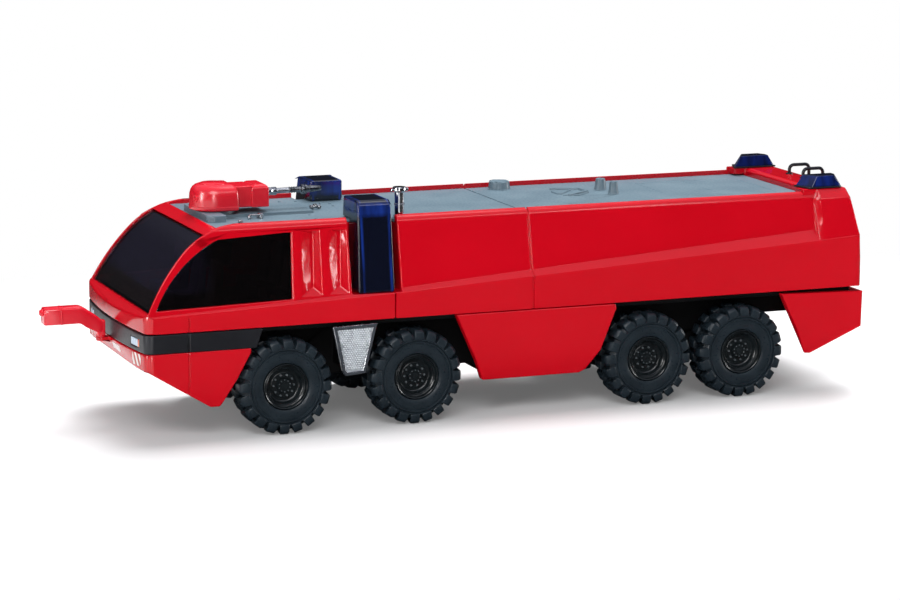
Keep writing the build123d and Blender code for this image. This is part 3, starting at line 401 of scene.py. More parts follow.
LAMP_AMBER = Finish("amber_lamp", "clear_lens", (0.72, 0.18, 0.10), (0.78, 0.26, 0.14), (0.12, 0.3),
                    cloud=1500.0, grain=3000.0, relief=0.006, strength=0.3)
LAMP_RED = Finish("red_lamp", "red_lens", (0.20, 0.004, 0.004), (0.30, 0.006, 0.006), (0.10, 0.22),
                  cloud=1500.0, relief=0.006, strength=0.3)
PLATE_WHITE = Finish("blank_plate", "clear_lens", (0.80, 0.72, 0.72), (0.74, 0.66, 0.66), (0.28, 0.42),
                     cloud=900.0, grain=3000.0, relief=0.002, strength=0.15)
HAZARD = StripeFinish("hazard_print", "red_paint", (0.46, 0.030, 0.010), (0.40, 0.024, 0.008), (0.28, 0.42),
                      cloud=900.0, grain=3000.0, relief=0.002, strength=0.15)
CAB_TRIM = Finish("cab_trim", "black_plastic", (0.16, 0.10, 0.085), (0.20, 0.13, 0.11), (0.5, 0.7),
                  relief=0.01, strength=0.4)


# Mesh helpers


def link(data: bpy.types.ID, name: str) -> Piece:
    """Puts a mesh, curve, lamp or camera in the scene as an object at the origin."""
    data.name = name
    piece = bpy.data.objects.new(name, data)
    bpy.context.scene.collection.objects.link(piece)
    return piece


def baked(piece: Piece) -> Piece:
    """Turns a piece's modifiers into its mesh.

    Args:
        piece: an object with live modifiers.

    Returns:
        The same object, with a plain mesh and no modifiers.
    """
    bpy.context.view_layer.update()
    graph = bpy.context.evaluated_depsgraph_get()
    mesh = bpy.data.meshes.new_from_object(piece.evaluated_get(graph), depsgraph=graph)
    piece.modifiers.clear()
    old = piece.data
    name = piece.name
    if piece.type == "MESH":
        piece.data = mesh
        if old.users == 0:
            bpy.data.meshes.remove(old)
        return piece
    bpy.data.objects.remove(piece)
    return link(mesh, name)


def shaded(piece: Piece, *finishes: Finish, angle: float | None = None) -> Piece:
    """Shades a piece smoothly and gives it its finishes.

    Args:
        piece: the piece. With more than one finish, its faces already say which one they take.
        finishes: its finishes.
        angle: edges steeper than this many degrees stay sharp; without it the faces are weighted by area.

    Returns:
        The same piece.
    """
    mesh = piece.data
    picks = [polygon.material_index for polygon in mesh.polygons]
    mesh.materials.clear()
    for finish in finishes:
        mesh.materials.append(finish.material())
    for polygon, pick in zip(mesh.polygons, picks):
        polygon.use_smooth = True
        polygon.material_index = min(pick, len(finishes) - 1)
    if angle is not None:
        mesh.set_sharp_from_angle(angle=math.radians(angle))
        return piece
    weights = piece.modifiers.new("weights", "WEIGHTED_NORMAL")
    weights.mode = "FACE_AREA"
    weights.keep_sharp = True
    weights.weight = FACE_WEIGHT
    mesh.set_sharp_from_angle(angle=SHARP_FROM)
    return baked(piece)


def fit(piece: Piece, finish: Finish, *nodes: str, body: Body = Body.VEHICLE) -> None:
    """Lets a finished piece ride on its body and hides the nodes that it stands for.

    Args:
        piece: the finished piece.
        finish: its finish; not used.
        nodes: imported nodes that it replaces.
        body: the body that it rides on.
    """
    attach(piece, body.value)
    if nodes:
        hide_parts(*nodes)
    LOG.info("%s: %d faces on %s", piece.name, len(piece.data.polygons), body.value)


def settle(piece: Piece, finish: Finish, *nodes: str, angle: float | None = 40.0, body: Body = Body.VEHICLE) -> None:
    """Shades a piece with one finish and fits it to its body.

    Args:
        piece: the piece.
        finish: its finish.
        nodes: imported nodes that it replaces.
        angle: edges steeper than this many degrees stay sharp, or None for faces weighted by area.
        body: the body that it rides on.
    """
    fit(shaded(piece, finish, angle=angle), finish, *nodes, body=body)


def edge_room(sharp: Sequence[Edge], faces: Sequence[Face], widest: float) -> list[float]:
    """Finds how wide a rounding fits beside each sharp edge.

    Args:
        sharp: the edges to be rounded.
        faces: every face of the mesh.
        widest: the wanted width in metres.

    Returns:
        The width for each sharp edge.
    """
    marks = set(sharp)
    region: dict[Face, int] = {}
    for number, face in enumerate(faces):
        if face in region:
            continue
        region[face] = number
        stack = [face]
        while stack:
            for edge in stack.pop().edges:
                if edge in marks:
                    continue
                for other in edge.link_faces:
                    if other not in region:
                        region[other] = number
                        stack.append(other)
    rims: dict[int, list[Edge]] = {}
    for edge in sharp:
        for face in edge.link_faces:
            rims.setdefault(region[face], []).append(edge)
    return [edge_width(edge, [o for f in edge.link_faces for o in rims[region[f]]], widest) for edge in sharp]


def edge_width(edge: Edge, rim: Sequence[Edge], widest: float) -> float:
    """Measures the room beside one edge against the other edges of its two surfaces.

    Args:
        edge: the edge.
        rim: the sharp edges round the surfaces that it parts.
        widest: the wanted width in metres.

    Returns:
        The widest rounding that leaves the surfaces whole, in metres.
    """
    first, last = (v.co for v in edge.verts)
    run = (last - first).normalized()
    best = widest
    for other in rim:
        if other is edge:
            continue
        shared = set(other.verts) & set(edge.verts)
        if shared:
            corner = shared.pop()
            legs = [e.other_vert(corner).co - corner.co for e in (edge, other)]
            turn = legs[0].angle(legs[1], math.pi)
            if turn < OPEN_CORNER:
                best = min(best, ROOM_AT_CORNER * min(leg.length for leg in legs) * math.tan(turn / 2))
            continue
        low, high = (v.co for v in other.verts)
        for share in (0.1, 0.5, 0.9):
            point = first.lerp(last, share)
            near, along = geometry.intersect_point_line(point, low, high)
            gap = (low if along < 0 else high if along > 1 else near) - point
            if gap.length > 1e-9 and abs(gap.dot(run)) < BESIDE * gap.length:
                best = min(best, ROOM_ACROSS * gap.length)
    return best


def rounded(work: Work, name: str, width: float, segments: int, rim: int,
            keep: Callable[[Vector], bool] | None) -> Piece:
    """Rounds a mesh's sharp edges, each as widely as its surfaces allow, within the mesh's own box.

    Args:
        work: the edit mesh, which is used up.
        name: the piece's name.
        width: the wanted width in millimetres.
        segments: faces across the rounding.
        rim: number of the finish that the rounding takes, or -1 for its neighbours'.
        keep: says of an edge's middle whether the edge stays sharp.

    Returns:
        The piece with its rounded mesh.
    """
    work.normal_update()
    sharp = [e for e in work.edges if len(e.link_faces) == 2 and e.calc_face_angle(0) > ROUNDED_FROM
             and not (keep and keep((e.verts[0].co + e.verts[1].co) / 2))]
    widths = edge_room(sharp, list(work.faces), width * MM)
    low, high = ([pick(v.co[i] for v in work.verts) for i in range(3)] for pick in (min, max))
    work.edges.index_update()
    numbers = [e.index for e in sharp]
    layer = work.edges.layers.float.new("bevel_weight_edge")
    work.edges.ensure_lookup_table()
    for number, room in zip(numbers, widths):
        work.edges[number][layer] = room / (width * MM)
    mesh = bpy.data.meshes.new(name)
    work.to_mesh(mesh)
    work.free()
    for _ in range(3):
        mesh.materials.append(None)
    piece = link(mesh, name)
    bevel = piece.modifiers.new("rounding", "BEVEL")
    bevel.width = width * MM
    bevel.segments = segments
    bevel.limit_method = "WEIGHT"
    bevel.use_clamp_overlap = False
    bevel.loop_slide = True
    bevel.material = rim
    piece = baked(piece)
    for vert in piece.data.vertices:
        vert.co = [min(max(value, least), most) for value, least, most in zip(vert.co, low, high)]
    return piece


def quarter(steps: int) -> list[float]:
    """Returns the angles of a quarter turn in equal steps, with both ends."""
    return [math.pi / 2 * k / steps for k in range(steps + 1)]


def soft_bevel(work: Work, width: float, angle: float, segments: int = 2) -> None:
    """Rounds every edge of a small mesh that is steeper than an angle.

    Args:
        work: the mesh being edited.
        width: width of the rounding in millimetres.
        angle: smallest angle between faces that gets it, in degrees.
        segments: faces across the rounding.
    """
    work.normal_update()
    edges = [e for e in work.edges if len(e.link_faces) == 2 and e.calc_face_angle(0) > math.radians(angle)]
    bmesh.ops.bevel(work, geom=edges, offset=width * MM, offset_type="OFFSET", segments=segments, profile=0.5,
                    affect="EDGES", clamp_overlap=False, miter_outer="ARC", loop_slide=True)


def from_bmesh(work: Work, name: str) -> Piece:
    """Frees a finished edit mesh into a linked object."""
    bmesh.ops.recalc_face_normals(work, faces=work.faces)
    return freed(work, name)


def freed(work: Work, name: str) -> Piece:
    """Frees an edit mesh into a linked object, with its faces as they are."""
    mesh = bpy.data.meshes.new(name)
    work.to_mesh(mesh)
    work.free()
    return link(mesh, name)


def placed(work: Work, name: str, finish: Finish, *nodes: str, angle: float | None = 40.0,
           body: Body = Body.VEHICLE) -> None:
    """Frees a finished edit mesh into a piece with one finish that rides on its body.

    Args:
        work: the edit mesh.
        name: the piece's name.
        finish: its finish.
        nodes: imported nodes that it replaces.
        angle: edges steeper than this many degrees stay sharp, or None for faces weighted by area.
        body: the body that it rides on.
    """
    settle(from_bmesh(work, name), finish, *nodes, angle=angle, body=body)


def joined(parts: Sequence[Piece], name: str) -> Piece:
    """Joins objects, which are used up, into one mesh object."""
    work = bmesh.new()
    for part in parts:
        work.from_mesh(part.data)
        bpy.data.objects.remove(part)
    return freed(work, name)


def turned(section: Sequence[Pair], steps: int, origin: Point = (0.0, 0.0, 0.0), axis: Point = (0.0, 0.0, 1.0),
           work: Work | None = None) -> Work:
    """Turns a section round an axis.

    Args:
        section: (radius, distance along the axis) points in millimetres, from one end to the other.
        steps: faces round the turn.
        origin: where the axis starts, in millimetres.
        axis: its direction.
        work: an edit mesh to add to.

    Returns:
        The edit mesh with the turned surface, closed at the ends that lie on the axis.
    """
    work = work or bmesh.new()
    place = Matrix.Translation(Vector(origin) * MM) @ Vector(axis).to_track_quat("Z", "Y").to_matrix().to_4x4()
    rings: list[list[Vert]] = []
    for radius, along in section:
        if radius < 1e-6:
            rings.append([work.verts.new(place @ Vector((0, 0, along * MM)))])
            continue
        turns = [2 * math.pi * k / steps for k in range(steps)]
        rings.append([work.verts.new(place @ Vector((radius * MM * math.cos(t), radius * MM * math.sin(t),
                                                     along * MM))) for t in turns])
    for near, far in zip(rings, rings[1:]):
        for k in range(steps):
            a, b = near[k % len(near)], near[(k + 1) % len(near)]
            c, d = far[(k + 1) % len(far)], far[k % len(far)]
            corners = list(dict.fromkeys((a, b, c, d)))
            if len(corners) > 2:
                work.faces.new(corners)
    return work


def lofted(rings: Sequence[Sequence[Point]], work: Work | None = None) -> Work:
    """Joins closed rings of equally many points, and closes both ends.

    Args:
        rings: the rings' points in millimetres.
        work: an edit mesh to add to.

    Returns:
        The edit mesh with the closed surface.
    """
    work = work or bmesh.new()
    loops = [[work.verts.new(Vector(p) * MM) for p in ring] for ring in rings]
    for near, far in zip(loops, loops[1:]):
        for k in range(len(near)):
            j = (k + 1) % len(near)
            work.faces.new((near[k], near[j], far[j], far[k]))
    work.faces.new(list(reversed(loops[0])))
    work.faces.new(loops[-1])
    return work


def block(low: Point, high: Point, work: Work | None = None) -> Work:
    """Adds a box between two corners, in millimetres, and returns the edit mesh."""
    base = [(low[0], low[1], low[2]), (high[0], low[1], low[2]), (high[0], high[1], low[2]), (low[0], high[1], low[2])]
    return prism(base, Vector((0, 0, high[2] - low[2])), work)


def prism(outline: Sequence[Point], along: Vector, work: Work | None = None) -> Work:
    """Extrudes a flat outline along a vector.

    Args:
        outline: corner points in millimetres.
        along: the extrusion in millimetres.
        work: an edit mesh to add to.

    Returns:
        The edit mesh with the prism.
    """
    work = work or bmesh.new()
    low = [work.verts.new(Vector(p) * MM) for p in outline]
    high = [work.verts.new((Vector(p) + along) * MM) for p in outline]
    work.faces.new(low)
    work.faces.new(list(reversed(high)))
    for k in range(len(low)):
        j = (k + 1) % len(low)
        work.faces.new((low[k], high[k], high[j], low[j]))
    return work


# Node groups for what repeats or follows a path


class NodeRecipe(NodeTree):
    """A Geometry Nodes tree with named inputs, and the modifier settings that run it."""

    def __init__(self, name: str, **inputs: str) -> None:
        """Starts a tree.

        Args:
            name: the tree's name.
            inputs: socket type of each input, with underscores for the spaces in its name. Material is added.
        """
        super().__init__(bpy.data.node_groups.new(name, "GeometryNodeTree"))
        for label, kind in {**inputs, "Material": "Material"}.items():
            self.tree.interface.new_socket(name=label.replace("_", " "), in_out="INPUT",
                                           socket_type=f"NodeSocket{kind}")
        self.tree.interface.new_socket(name="Geometry", in_out="OUTPUT", socket_type="NodeSocketGeometry")
        self.given = self.add("NodeGroupInput").outputs

    def finish(self, result: Node) -> None:
        """Ends the tree in Realize Instances and Set Material."""
        real = self.add("GeometryNodeRealizeInstances", {0: result.outputs[0]})
        paint = self.add("GeometryNodeSetMaterial", {0: real.outputs[0], "Material": self.given["Material"]})
        self.add("NodeGroupOutput", {0: paint.outputs[0]})

    def copies(self, points: Node, **inputs: Socket) -> None:
        """Ends the tree in one copy of the Item input on each point."""
        item = self.add("GeometryNodeObjectInfo", {"Object": self.given["Item"]})
        self.finish(self.add("GeometryNodeInstanceOnPoints", {
            "Points": points.outputs[0], "Instance": item.outputs["Geometry"], **inputs}))

    def run(self, name: str, host: Piece | None = None, **values: Any) -> Piece:
        """Runs the tree on a host object and returns the plain mesh object.

        Args:
            name: the piece's name.
            host: an object whose geometry is the first input, if the tree has one.
            values: the inputs, with underscores for the spaces in their names. An Item is used up by run_item.

        Returns:
            An object with the result as its mesh and no modifier.
        """
        piece = host or link(bpy.data.meshes.new(name), name)
        change = piece.modifiers.new("recipe", "NODES")
        change.node_group = self.tree
        sockets = {item.name: item.identifier for item in self.tree.interface.items_tree
                   if item.item_type == "SOCKET" and item.in_out == "INPUT"}
        for key, value in values.items():
            change[sockets[key.replace("_", " ")]] = value
        return baked(piece)

    def run_item(self, name: str, item: Piece, **values: Any) -> Piece:
        """Runs the tree on copies of an item, which is used up, and returns the plain mesh object."""
        piece = self.run(name, Item=item, **values)
        bpy.data.objects.remove(item)
        return piece


class RingRecipe(NodeRecipe):
    """Copies of one item, turned in equal steps about the Y axis."""

    def __init__(self) -> None:
        """Builds the tree: its inputs are the item, the count and the phase in steps."""
        super().__init__("ring_of_items", Item="Object", Count="Int", Phase="Float")
        count = self.given["Count"]
        points = self.add("GeometryNodeMeshLine", {"Count": count, "Offset": (0, 0, 0)}, mode="OFFSET")
        index = self.add("GeometryNodeInputIndex").outputs[0]
        share = self.maths("DIVIDE", self.maths("ADD", index, self.given["Phase"]), count)
        turn = self.add("ShaderNodeCombineXYZ", {"Y": self.product(share, 2 * math.pi)})
        spin = self.add("FunctionNodeEulerToRotation", {0: turn.outputs[0]})
        self.copies(points, Rotation=spin.outputs[0])


class StudRecipe(NodeRecipe):
    """Staggered rows of one item over a trapezium in the XZ plane, as on a tread plate."""

    def __init__(self) -> None:
        """Builds the tree: its inputs are the item, the row and column counts, the pitches and the trapezium."""
        super().__init__("staggered_studs", Item="Object", Columns="Int", Rows="Int", Pitch="Float", Rise="Float",
                         Low_Half="Float", High_Half="Float", Lean="Float")
        columns, rows, low_half = (self.given[key] for key in ("Columns", "Rows", "Low Half"))
        points = self.add("GeometryNodeMeshLine", {"Count": self.product(columns, rows)}, mode="OFFSET")
        index = self.add("GeometryNodeInputIndex").outputs[0]
        row = self.maths("FLOOR", self.maths("DIVIDE", index, columns))
        column = self.maths("SUBTRACT", index, self.product(row, columns))
        offset = self.maths("SUBTRACT", column, self.product(self.maths("SUBTRACT", columns, 1.0), 0.5))
        stagger = self.product(self.maths("MODULO", row, 2.0), 0.5)
        across = self.product(self.maths("ADD", offset, stagger), self.given["Pitch"])
        share = self.maths("DIVIDE", row, self.maths("SUBTRACT", rows, 1.0))
        widening = self.product(self.maths("SUBTRACT", self.given["High Half"], low_half), share)
        outside = self.maths("GREATER_THAN", self.maths("ABSOLUTE", across), self.maths("ADD", widening, low_half))
        place = self.add("ShaderNodeCombineXYZ", {
            "X": self.maths("ADD", across, self.product(share, self.given["Lean"])),
            "Z": self.product(row, self.given["Rise"])})
        placed = self.add("GeometryNodeSetPosition", {0: points.outputs[0], "Position": place.outputs[0]})
        self.copies(self.add("GeometryNodeDeleteGeometry", {0: placed.outputs[0], "Selection": outside},
                             domain="POINT"))


class TubeRecipe(NodeRecipe):
    """A round tube along a path of straight runs, with its corners rounded."""

    def __init__(self) -> None:
        """Builds the tree: its inputs are the path, and the radii of the bends and of the tube."""
        super().__init__("bent_tube", Path="Geometry", Bend="Float", Radius="Float")
        bends = self.add("GeometryNodeFilletCurve", {0: self.given["Path"], "Radius": self.given["Bend"], "Count": 6},
                         mode="POLY")
        ring = self.add("GeometryNodeCurvePrimitiveCircle", {"Resolution": 14, "Radius": self.given["Radius"]})
        self.finish(self.add("GeometryNodeCurveToMesh", {"Curve": bends.outputs[0], "Profile Curve": ring.outputs[0],
                                                         "Fill Caps": True}))


class Workshop:
    """The recipes that several sub-assemblies share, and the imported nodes."""

    def __init__(self, frame: dict[str, Any]) -> None:
        """Builds the recipes.
        """
        self.nodes: dict[str, Piece] = frame["nodes"]
        self.ring = RingRecipe()
        self.studs = StudRecipe()
        self.tube = TubeRecipe()

    def merged(self, node: str) -> Work:
        """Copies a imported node's loose faces into one joined edit mesh."""
        source = self.nodes[node].data
        work = bmesh.new()
        verts = [work.verts.new(v.co) for v in source.vertices]
        for polygon in source.polygons:
            corners = [verts[k] for k in polygon.vertices]
            if work.faces.get(corners) is None:
                work.faces.new(corners)
        bmesh.ops.remove_doubles(work, verts=work.verts, dist=WELD)
        work.normal_update()
        return work

    def dressed(self, node: str, *finishes: Finish, edge: float, segments: int = 3, rim: int = -1,
                change: Callable[[Work], None] | None = None,
                keep: Callable[[Vector], bool] | None = None) -> None:
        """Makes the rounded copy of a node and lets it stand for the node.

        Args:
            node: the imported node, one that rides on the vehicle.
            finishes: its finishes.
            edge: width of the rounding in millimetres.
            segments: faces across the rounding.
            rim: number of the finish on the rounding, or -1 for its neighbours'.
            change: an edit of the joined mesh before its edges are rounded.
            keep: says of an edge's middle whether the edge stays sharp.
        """
        work = self.merged(node)
        if change:
            change(work)
        piece = rounded(work, f"{node}_form", edge, segments, rim, keep)
        fit(shaded(piece, *finishes), finishes[0], node)

    def tubes(self, name: str, paths: Sequence[Sequence[Point]], bend: float, radius: float, finish: Finish,
              *nodes: str) -> None:
        """Makes one piece of the vehicle from tubes along several paths.

        Args:
            name: the piece's name.
            paths: corner points of each path, in millimetres.
            bend: radius of the bends in millimetres.
            radius: radius of the tube in millimetres.
            finish: the tube's finish.
            nodes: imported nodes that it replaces.
        """
        curve = bpy.data.curves.new(name, "CURVE")
        curve.dimensions = "3D"
        for path in paths:
            spline = curve.splines.new("POLY")
            spline.points.add(len(path) - 1)
            for point, corner in zip(spline.points, path):
                point.co = (*(Vector(corner) * MM), 1.0)
        tube = self.tube.run(name, link(curve, name), Bend=bend * MM, Radius=radius * MM, Material=finish.material())
        settle(tube, finish, *nodes)

    def laid_on(self, name: str, node: str, across: Pair, upright: Pair, steps: tuple[int, int], lift: float,
                finish: Finish) -> None:
        """Lays a thin sheet on a node's front, so that it follows the node's curve.

        Args:
            name: the piece's name.
            node: the node that carries it.
            across: the sheet's first and last Y in millimetres.
            upright: its lowest and highest Z.
            steps: faces along its two sides.
            lift: its thickness in millimetres.
            finish: its finish.
        """
        tree = BVHTree.FromBMesh(self.merged(node))
        columns, rows = steps
        work = bmesh.new()
        low: dict[tuple[int, int], Vert] = {}
        high: dict[tuple[int, int], Vert] = {}
        rows_at = [[Vector((y, z)) for y in across] for z in upright]
        for i in range(columns + 1):
            for j in range(rows + 1):
                near, far = (first.lerp(last, i / columns) for first, last in rows_at)
                y, z = near.lerp(far, j / rows) * MM
                spot = tree.ray_cast(Vector((RAY_START, y, z)), Vector((-1, 0, 0)))[0]
                low[i, j] = work.verts.new(spot - Vector((SHEET_SUNK * MM, 0, 0)))
                high[i, j] = work.verts.new(spot + Vector((lift * MM, 0, 0)))
        for layer in (low, high):
            for i in range(columns):
                for j in range(rows):
                    work.faces.new((layer[i, j], layer[i + 1, j], layer[i + 1, j + 1], layer[i, j + 1]))
        ring = [(i, 0) for i in range(columns)] + [(columns, j) for j in range(rows)]
        ring += [(i, rows) for i in range(columns, 0, -1)] + [(0, j) for j in range(rows, 0, -1)]
        for k, spot in enumerate(ring):
            after = ring[(k + 1) % len(ring)]
            work.faces.new((low[spot], low[after], high[after], high[spot]))
        placed(work, name, finish)


# Sub-assemblies


@dataclass
class CabGroup:
    """The cab: its shell, glazing, seats, roof deck and the fittings on it."""

    shop: Workshop
    edge: float = 0.28
    deck_z: float = 33.2
    bolts: tuple[Pair, ...] = ((23.5, -9.0), (20.5, -5.2), (19.0, -4.6), (19.2, -2.5), (36.2, 9.6), (26.2, 9.2),
                               (26.0, 5.1), (26.2, -9.4))
    bolt: Section = ((0.0, -0.05), (0.24, -0.05), (0.24, 0.06), (0.17, 0.15), (0.0, 0.17))
    clasps: tuple[tuple[float, ...], ...] = (  # low X and Y, high X and Y, height above the deck
        (33.95, 4.55, 34.65, 5.9, 0.75), (38.3, 8.35, 39.1, 8.9, 0.45), (36.0, 5.3, 36.5, 5.9, 0.5),
        (22.0, -0.95, 22.5, -0.2, 0.55), (23.3, -1.0, 23.9, -0.15, 0.62),
    )
    knobs: tuple[tuple[Section, Point, Point], ...] = (  # section, foot with its height above the deck, axis
        (((0.0, 0.0), (0.32, 0.0), (0.32, 0.75), (0.22, 0.85), (0.0, 0.85)), (34.3, 5.75, 0.0), (0, 0, 1)),
        (((0.0, 0.0), (0.26, 0.0), (0.26, 1.6), (0.16, 1.75), (0.0, 1.75)), (22.1, -0.58, 0.42), (1, 0.05, 0)),
        (((0.0, 0.0), (0.3, 0.0), (0.36, 0.12), (0.3, 0.3), (0.0, 0.34)), (23.0, -0.55, 0.55), (0.2, 0, 1)),
    )
    handle: tuple[Pair, ...] = ((34.4, 0.2), (34.4, 0.62), (36.25, 0.62), (36.25, 0.1))  # X, height above the deck
    handle_y: float = 5.6

    def build(self) -> None:
        """Builds and dresses every piece of the cab."""
        for node, finish, edge, segments in (("cab_shell", RED, self.edge, 3), ("windscreen", GLAZING, 0.1, 2),
                                             ("side_windows", GLAZING, 0.1, 2), ("cab_interior", CAB_TRIM, 0.3, 3),
                                             ("cab_deck", DECK_GREY, 0.12, 3)):
            self.shop.dressed(node, finish, edge=edge, segments=segments)
        self.fittings()
        self.bolt_heads()

    def fittings(self) -> None:
        """Sets the bright clasps and the grab handle beside the turret, and the hose coupling behind it."""
        work = bmesh.new()
        for low_x, low_y, high_x, high_y, height in self.clasps:
            block((low_x, low_y, self.deck_z), (high_x, high_y, self.deck_z + height), work)
        soft_bevel(work, 0.14, 30.0)
        for section, (x, y, height), axis in self.knobs:
            turned(section, 16, (x, y, self.deck_z + height), axis, work)
        placed(work, "roof_clasps", DULL_CHROME, "roof_fittings")
        path = [(x, self.handle_y, self.deck_z + height) for x, height in self.handle]
        self.shop.tubes("roof_handle", [path], 0.2, 0.13, DULL_CHROME)

    def bolt_heads(self) -> None:
        """Sets small bolt heads on the cab deck."""
        work = bmesh.new()
        for x, y in self.bolts:
            turned(self.bolt, 12, (x, y, self.deck_z), work=work)
        placed(work, "deck_bolt_heads", DECK_GREY, angle=35.0)


@dataclass
class TankGroup:
    """The tank body with its deck, post and rear ladder."""

    shop: Workshop
    edge: float = 0.28
    deck_z: float = 33.2
    tail: Pair = (-68.4, 18.8)  # edges behind this X and below this Z stay sharp
    arms: tuple[tuple[Pair, ...], ...] = (((-20.9, -4.3), (-20.85, -1.0), (-24.6, -5.2)),
                                          ((-21.05, -0.1), (-23.7, 0.65), (-26.4, -1.7)))
    panels: tuple[tuple[Pair, ...], ...] = (
        ((-38.5, -8.5), (-38.5, 7.5), (-57.5, 7.5), (-57.5, -8.5), (-38.5, -8.5)),
        ((-47.5, -8.5), (-47.5, 7.5)), ((-11.0, 8.5), (-27.5, 8.5)),
    )
    post: Pair = (13.0, 11.9)
    post_sink: float = 0.05
    post_form: Section = (
        (0.0, 0.0), (0.95, 0.0), (0.95, 0.3), (0.78, 0.42), (0.78, 1.9), (0.86, 1.98), (0.86, 2.2), (0.78, 2.28),
        (0.78, 4.05), (0.92, 4.25), (1.08, 4.35), (1.08, 4.8), (1.0, 4.92), (0.0, 4.93),
    )
    grip: Section = ((0.0, 0.0), (0.2, 0.0), (0.2, 1.2), (0.3, 1.26), (0.3, 1.5), (0.2, 1.58), (0.0, 1.6))
    grip_rise: float = 4.45
    rail_half: float = 2.5
    rail_front: float = -65.3
    rail_back: float = -69.15
    rail_foot: float = 34.42
    rail_top: float = 36.03
    rail_low: float = 19.45
    rail_radius: float = 0.29
    rung_low: float = 20.4
    rung_pitch: float = 2.3
    rung_count: int = 6
    rung_radius: float = 0.22
    stay_x: float = -68.62
    stay_heights: Pair = (19.9, 26.8)
    collar: Section = ((0.0, 0.0), (0.62, 0.0), (0.62, 0.16), (0.5, 0.26), (0.0, 0.28))

    def build(self) -> None:
        """Builds and dresses every piece of the tank."""
        tail_x, tail_z = (value * MM for value in self.tail)
        self.shop.dressed("tank_body", RED, edge=self.edge, keep=lambda spot: spot.x < tail_x and spot.z < tail_z)
        self.shop.dressed("tank_deck", DECK_GREY, edge=0.24)
        for name, paths, lift, bend, radius in (("deck_arm_ribs", self.arms, 0.02, 0.4, 0.2),
                                                ("deck_panel_edges", self.panels, -0.1, 0.01, 0.16)):
            raised = [[(x, y, self.deck_z + lift) for x, y in path] for path in paths]
            self.shop.tubes(name, raised, bend, radius, DECK_GREY)
        self.roof_post()
        self.ladder()

    def roof_post(self) -> None:
        """Turns the bright post and its cross handle."""
        base = self.deck_z + self.post_sink
        work = turned(self.post_form, 36, (*self.post, base))
        for way in (1, -1):
            turned(self.grip, 14, (*self.post, base + self.grip_rise), (way, 0.12 * way, 0.0), work)
        placed(work, "roof_post_form", CHROME, "roof_post", angle=34.0)

    def ladder(self) -> None:
        """Bends the grab rails and stiles of the rear ladder, and sets its rungs."""
        ends = (self.rail_half, -self.rail_half)
        rails = [[(self.rail_front, y, self.rail_foot), (self.rail_front, y, self.rail_top),
                  (self.rail_back, y, self.rail_top), (self.rail_back, y, self.rail_low)] for y in ends]
        self.shop.tubes("ladder_rails", rails, 0.8, self.rail_radius, SATIN_BLACK, "rear_ladder")
        heights = [self.rung_low + k * self.rung_pitch for k in range(self.rung_count)]
        rungs = [[(self.rail_back, -self.rail_half, z), (self.rail_back, self.rail_half, z)] for z in heights]
        stays = [[(self.rail_back, y, z), (self.stay_x, y, z)] for y in ends for z in self.stay_heights]
        self.shop.tubes("ladder_rungs", rungs + stays, 0.01, self.rung_radius, SATIN_BLACK)
        work = bmesh.new()
        for y in ends:
            turned(self.collar, 20, (self.rail_front, y, self.rail_foot), work=work)
        placed(work, "rail_collars", SATIN_BLACK, angle=35.0)


@dataclass
class BeaconGroup:
    """The saddle beacons and the rear corner beacons."""

    shop: Workshop
    foot_reach: float = 0.12
    foot_span: Pair = (-0.02, 0.26)  # from the beacon's lowest Z
    foot_outer: float = 0.5
    foot_taper: Pair = (1.1, -1.3)

    def build(self) -> None:
        """Builds and dresses the four beacons."""
        for side in Side:
            word = side.name.lower()
            self.shop.dressed(f"saddle_beacon_{word}", BLUE_LENS, edge=0.34)
            self.shop.dressed(f"corner_beacon_{word}", CORNER_LENS, edge=0.14)
            self.beacon_foot(side)

    def beacon_foot(self, side: Side) -> None:
        """Lays the dark foot under a side's corner beacon, narrower at its outer end."""
        low, high = (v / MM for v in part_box(f"corner_beacon_{side.name.lower()}"))
        reach, (under, over) = self.foot_reach, self.foot_span
        work = block((low.x - reach, low.y - reach, low.z + under), (high.x + reach, high.y + reach, low.z + over))
        for vert in work.verts:
            if vert.co.y * side.value > max(abs(low.y), abs(high.y)) * MM - self.foot_outer * MM:
                vert.co.x += self.foot_taper[vert.co.x >= (low.x + high.x) / 2 * MM] * MM
        soft_bevel(work, 0.06, 30.0)
        placed(work, f"beacon_foot_{side.name.lower()}", SATIN_BLACK)


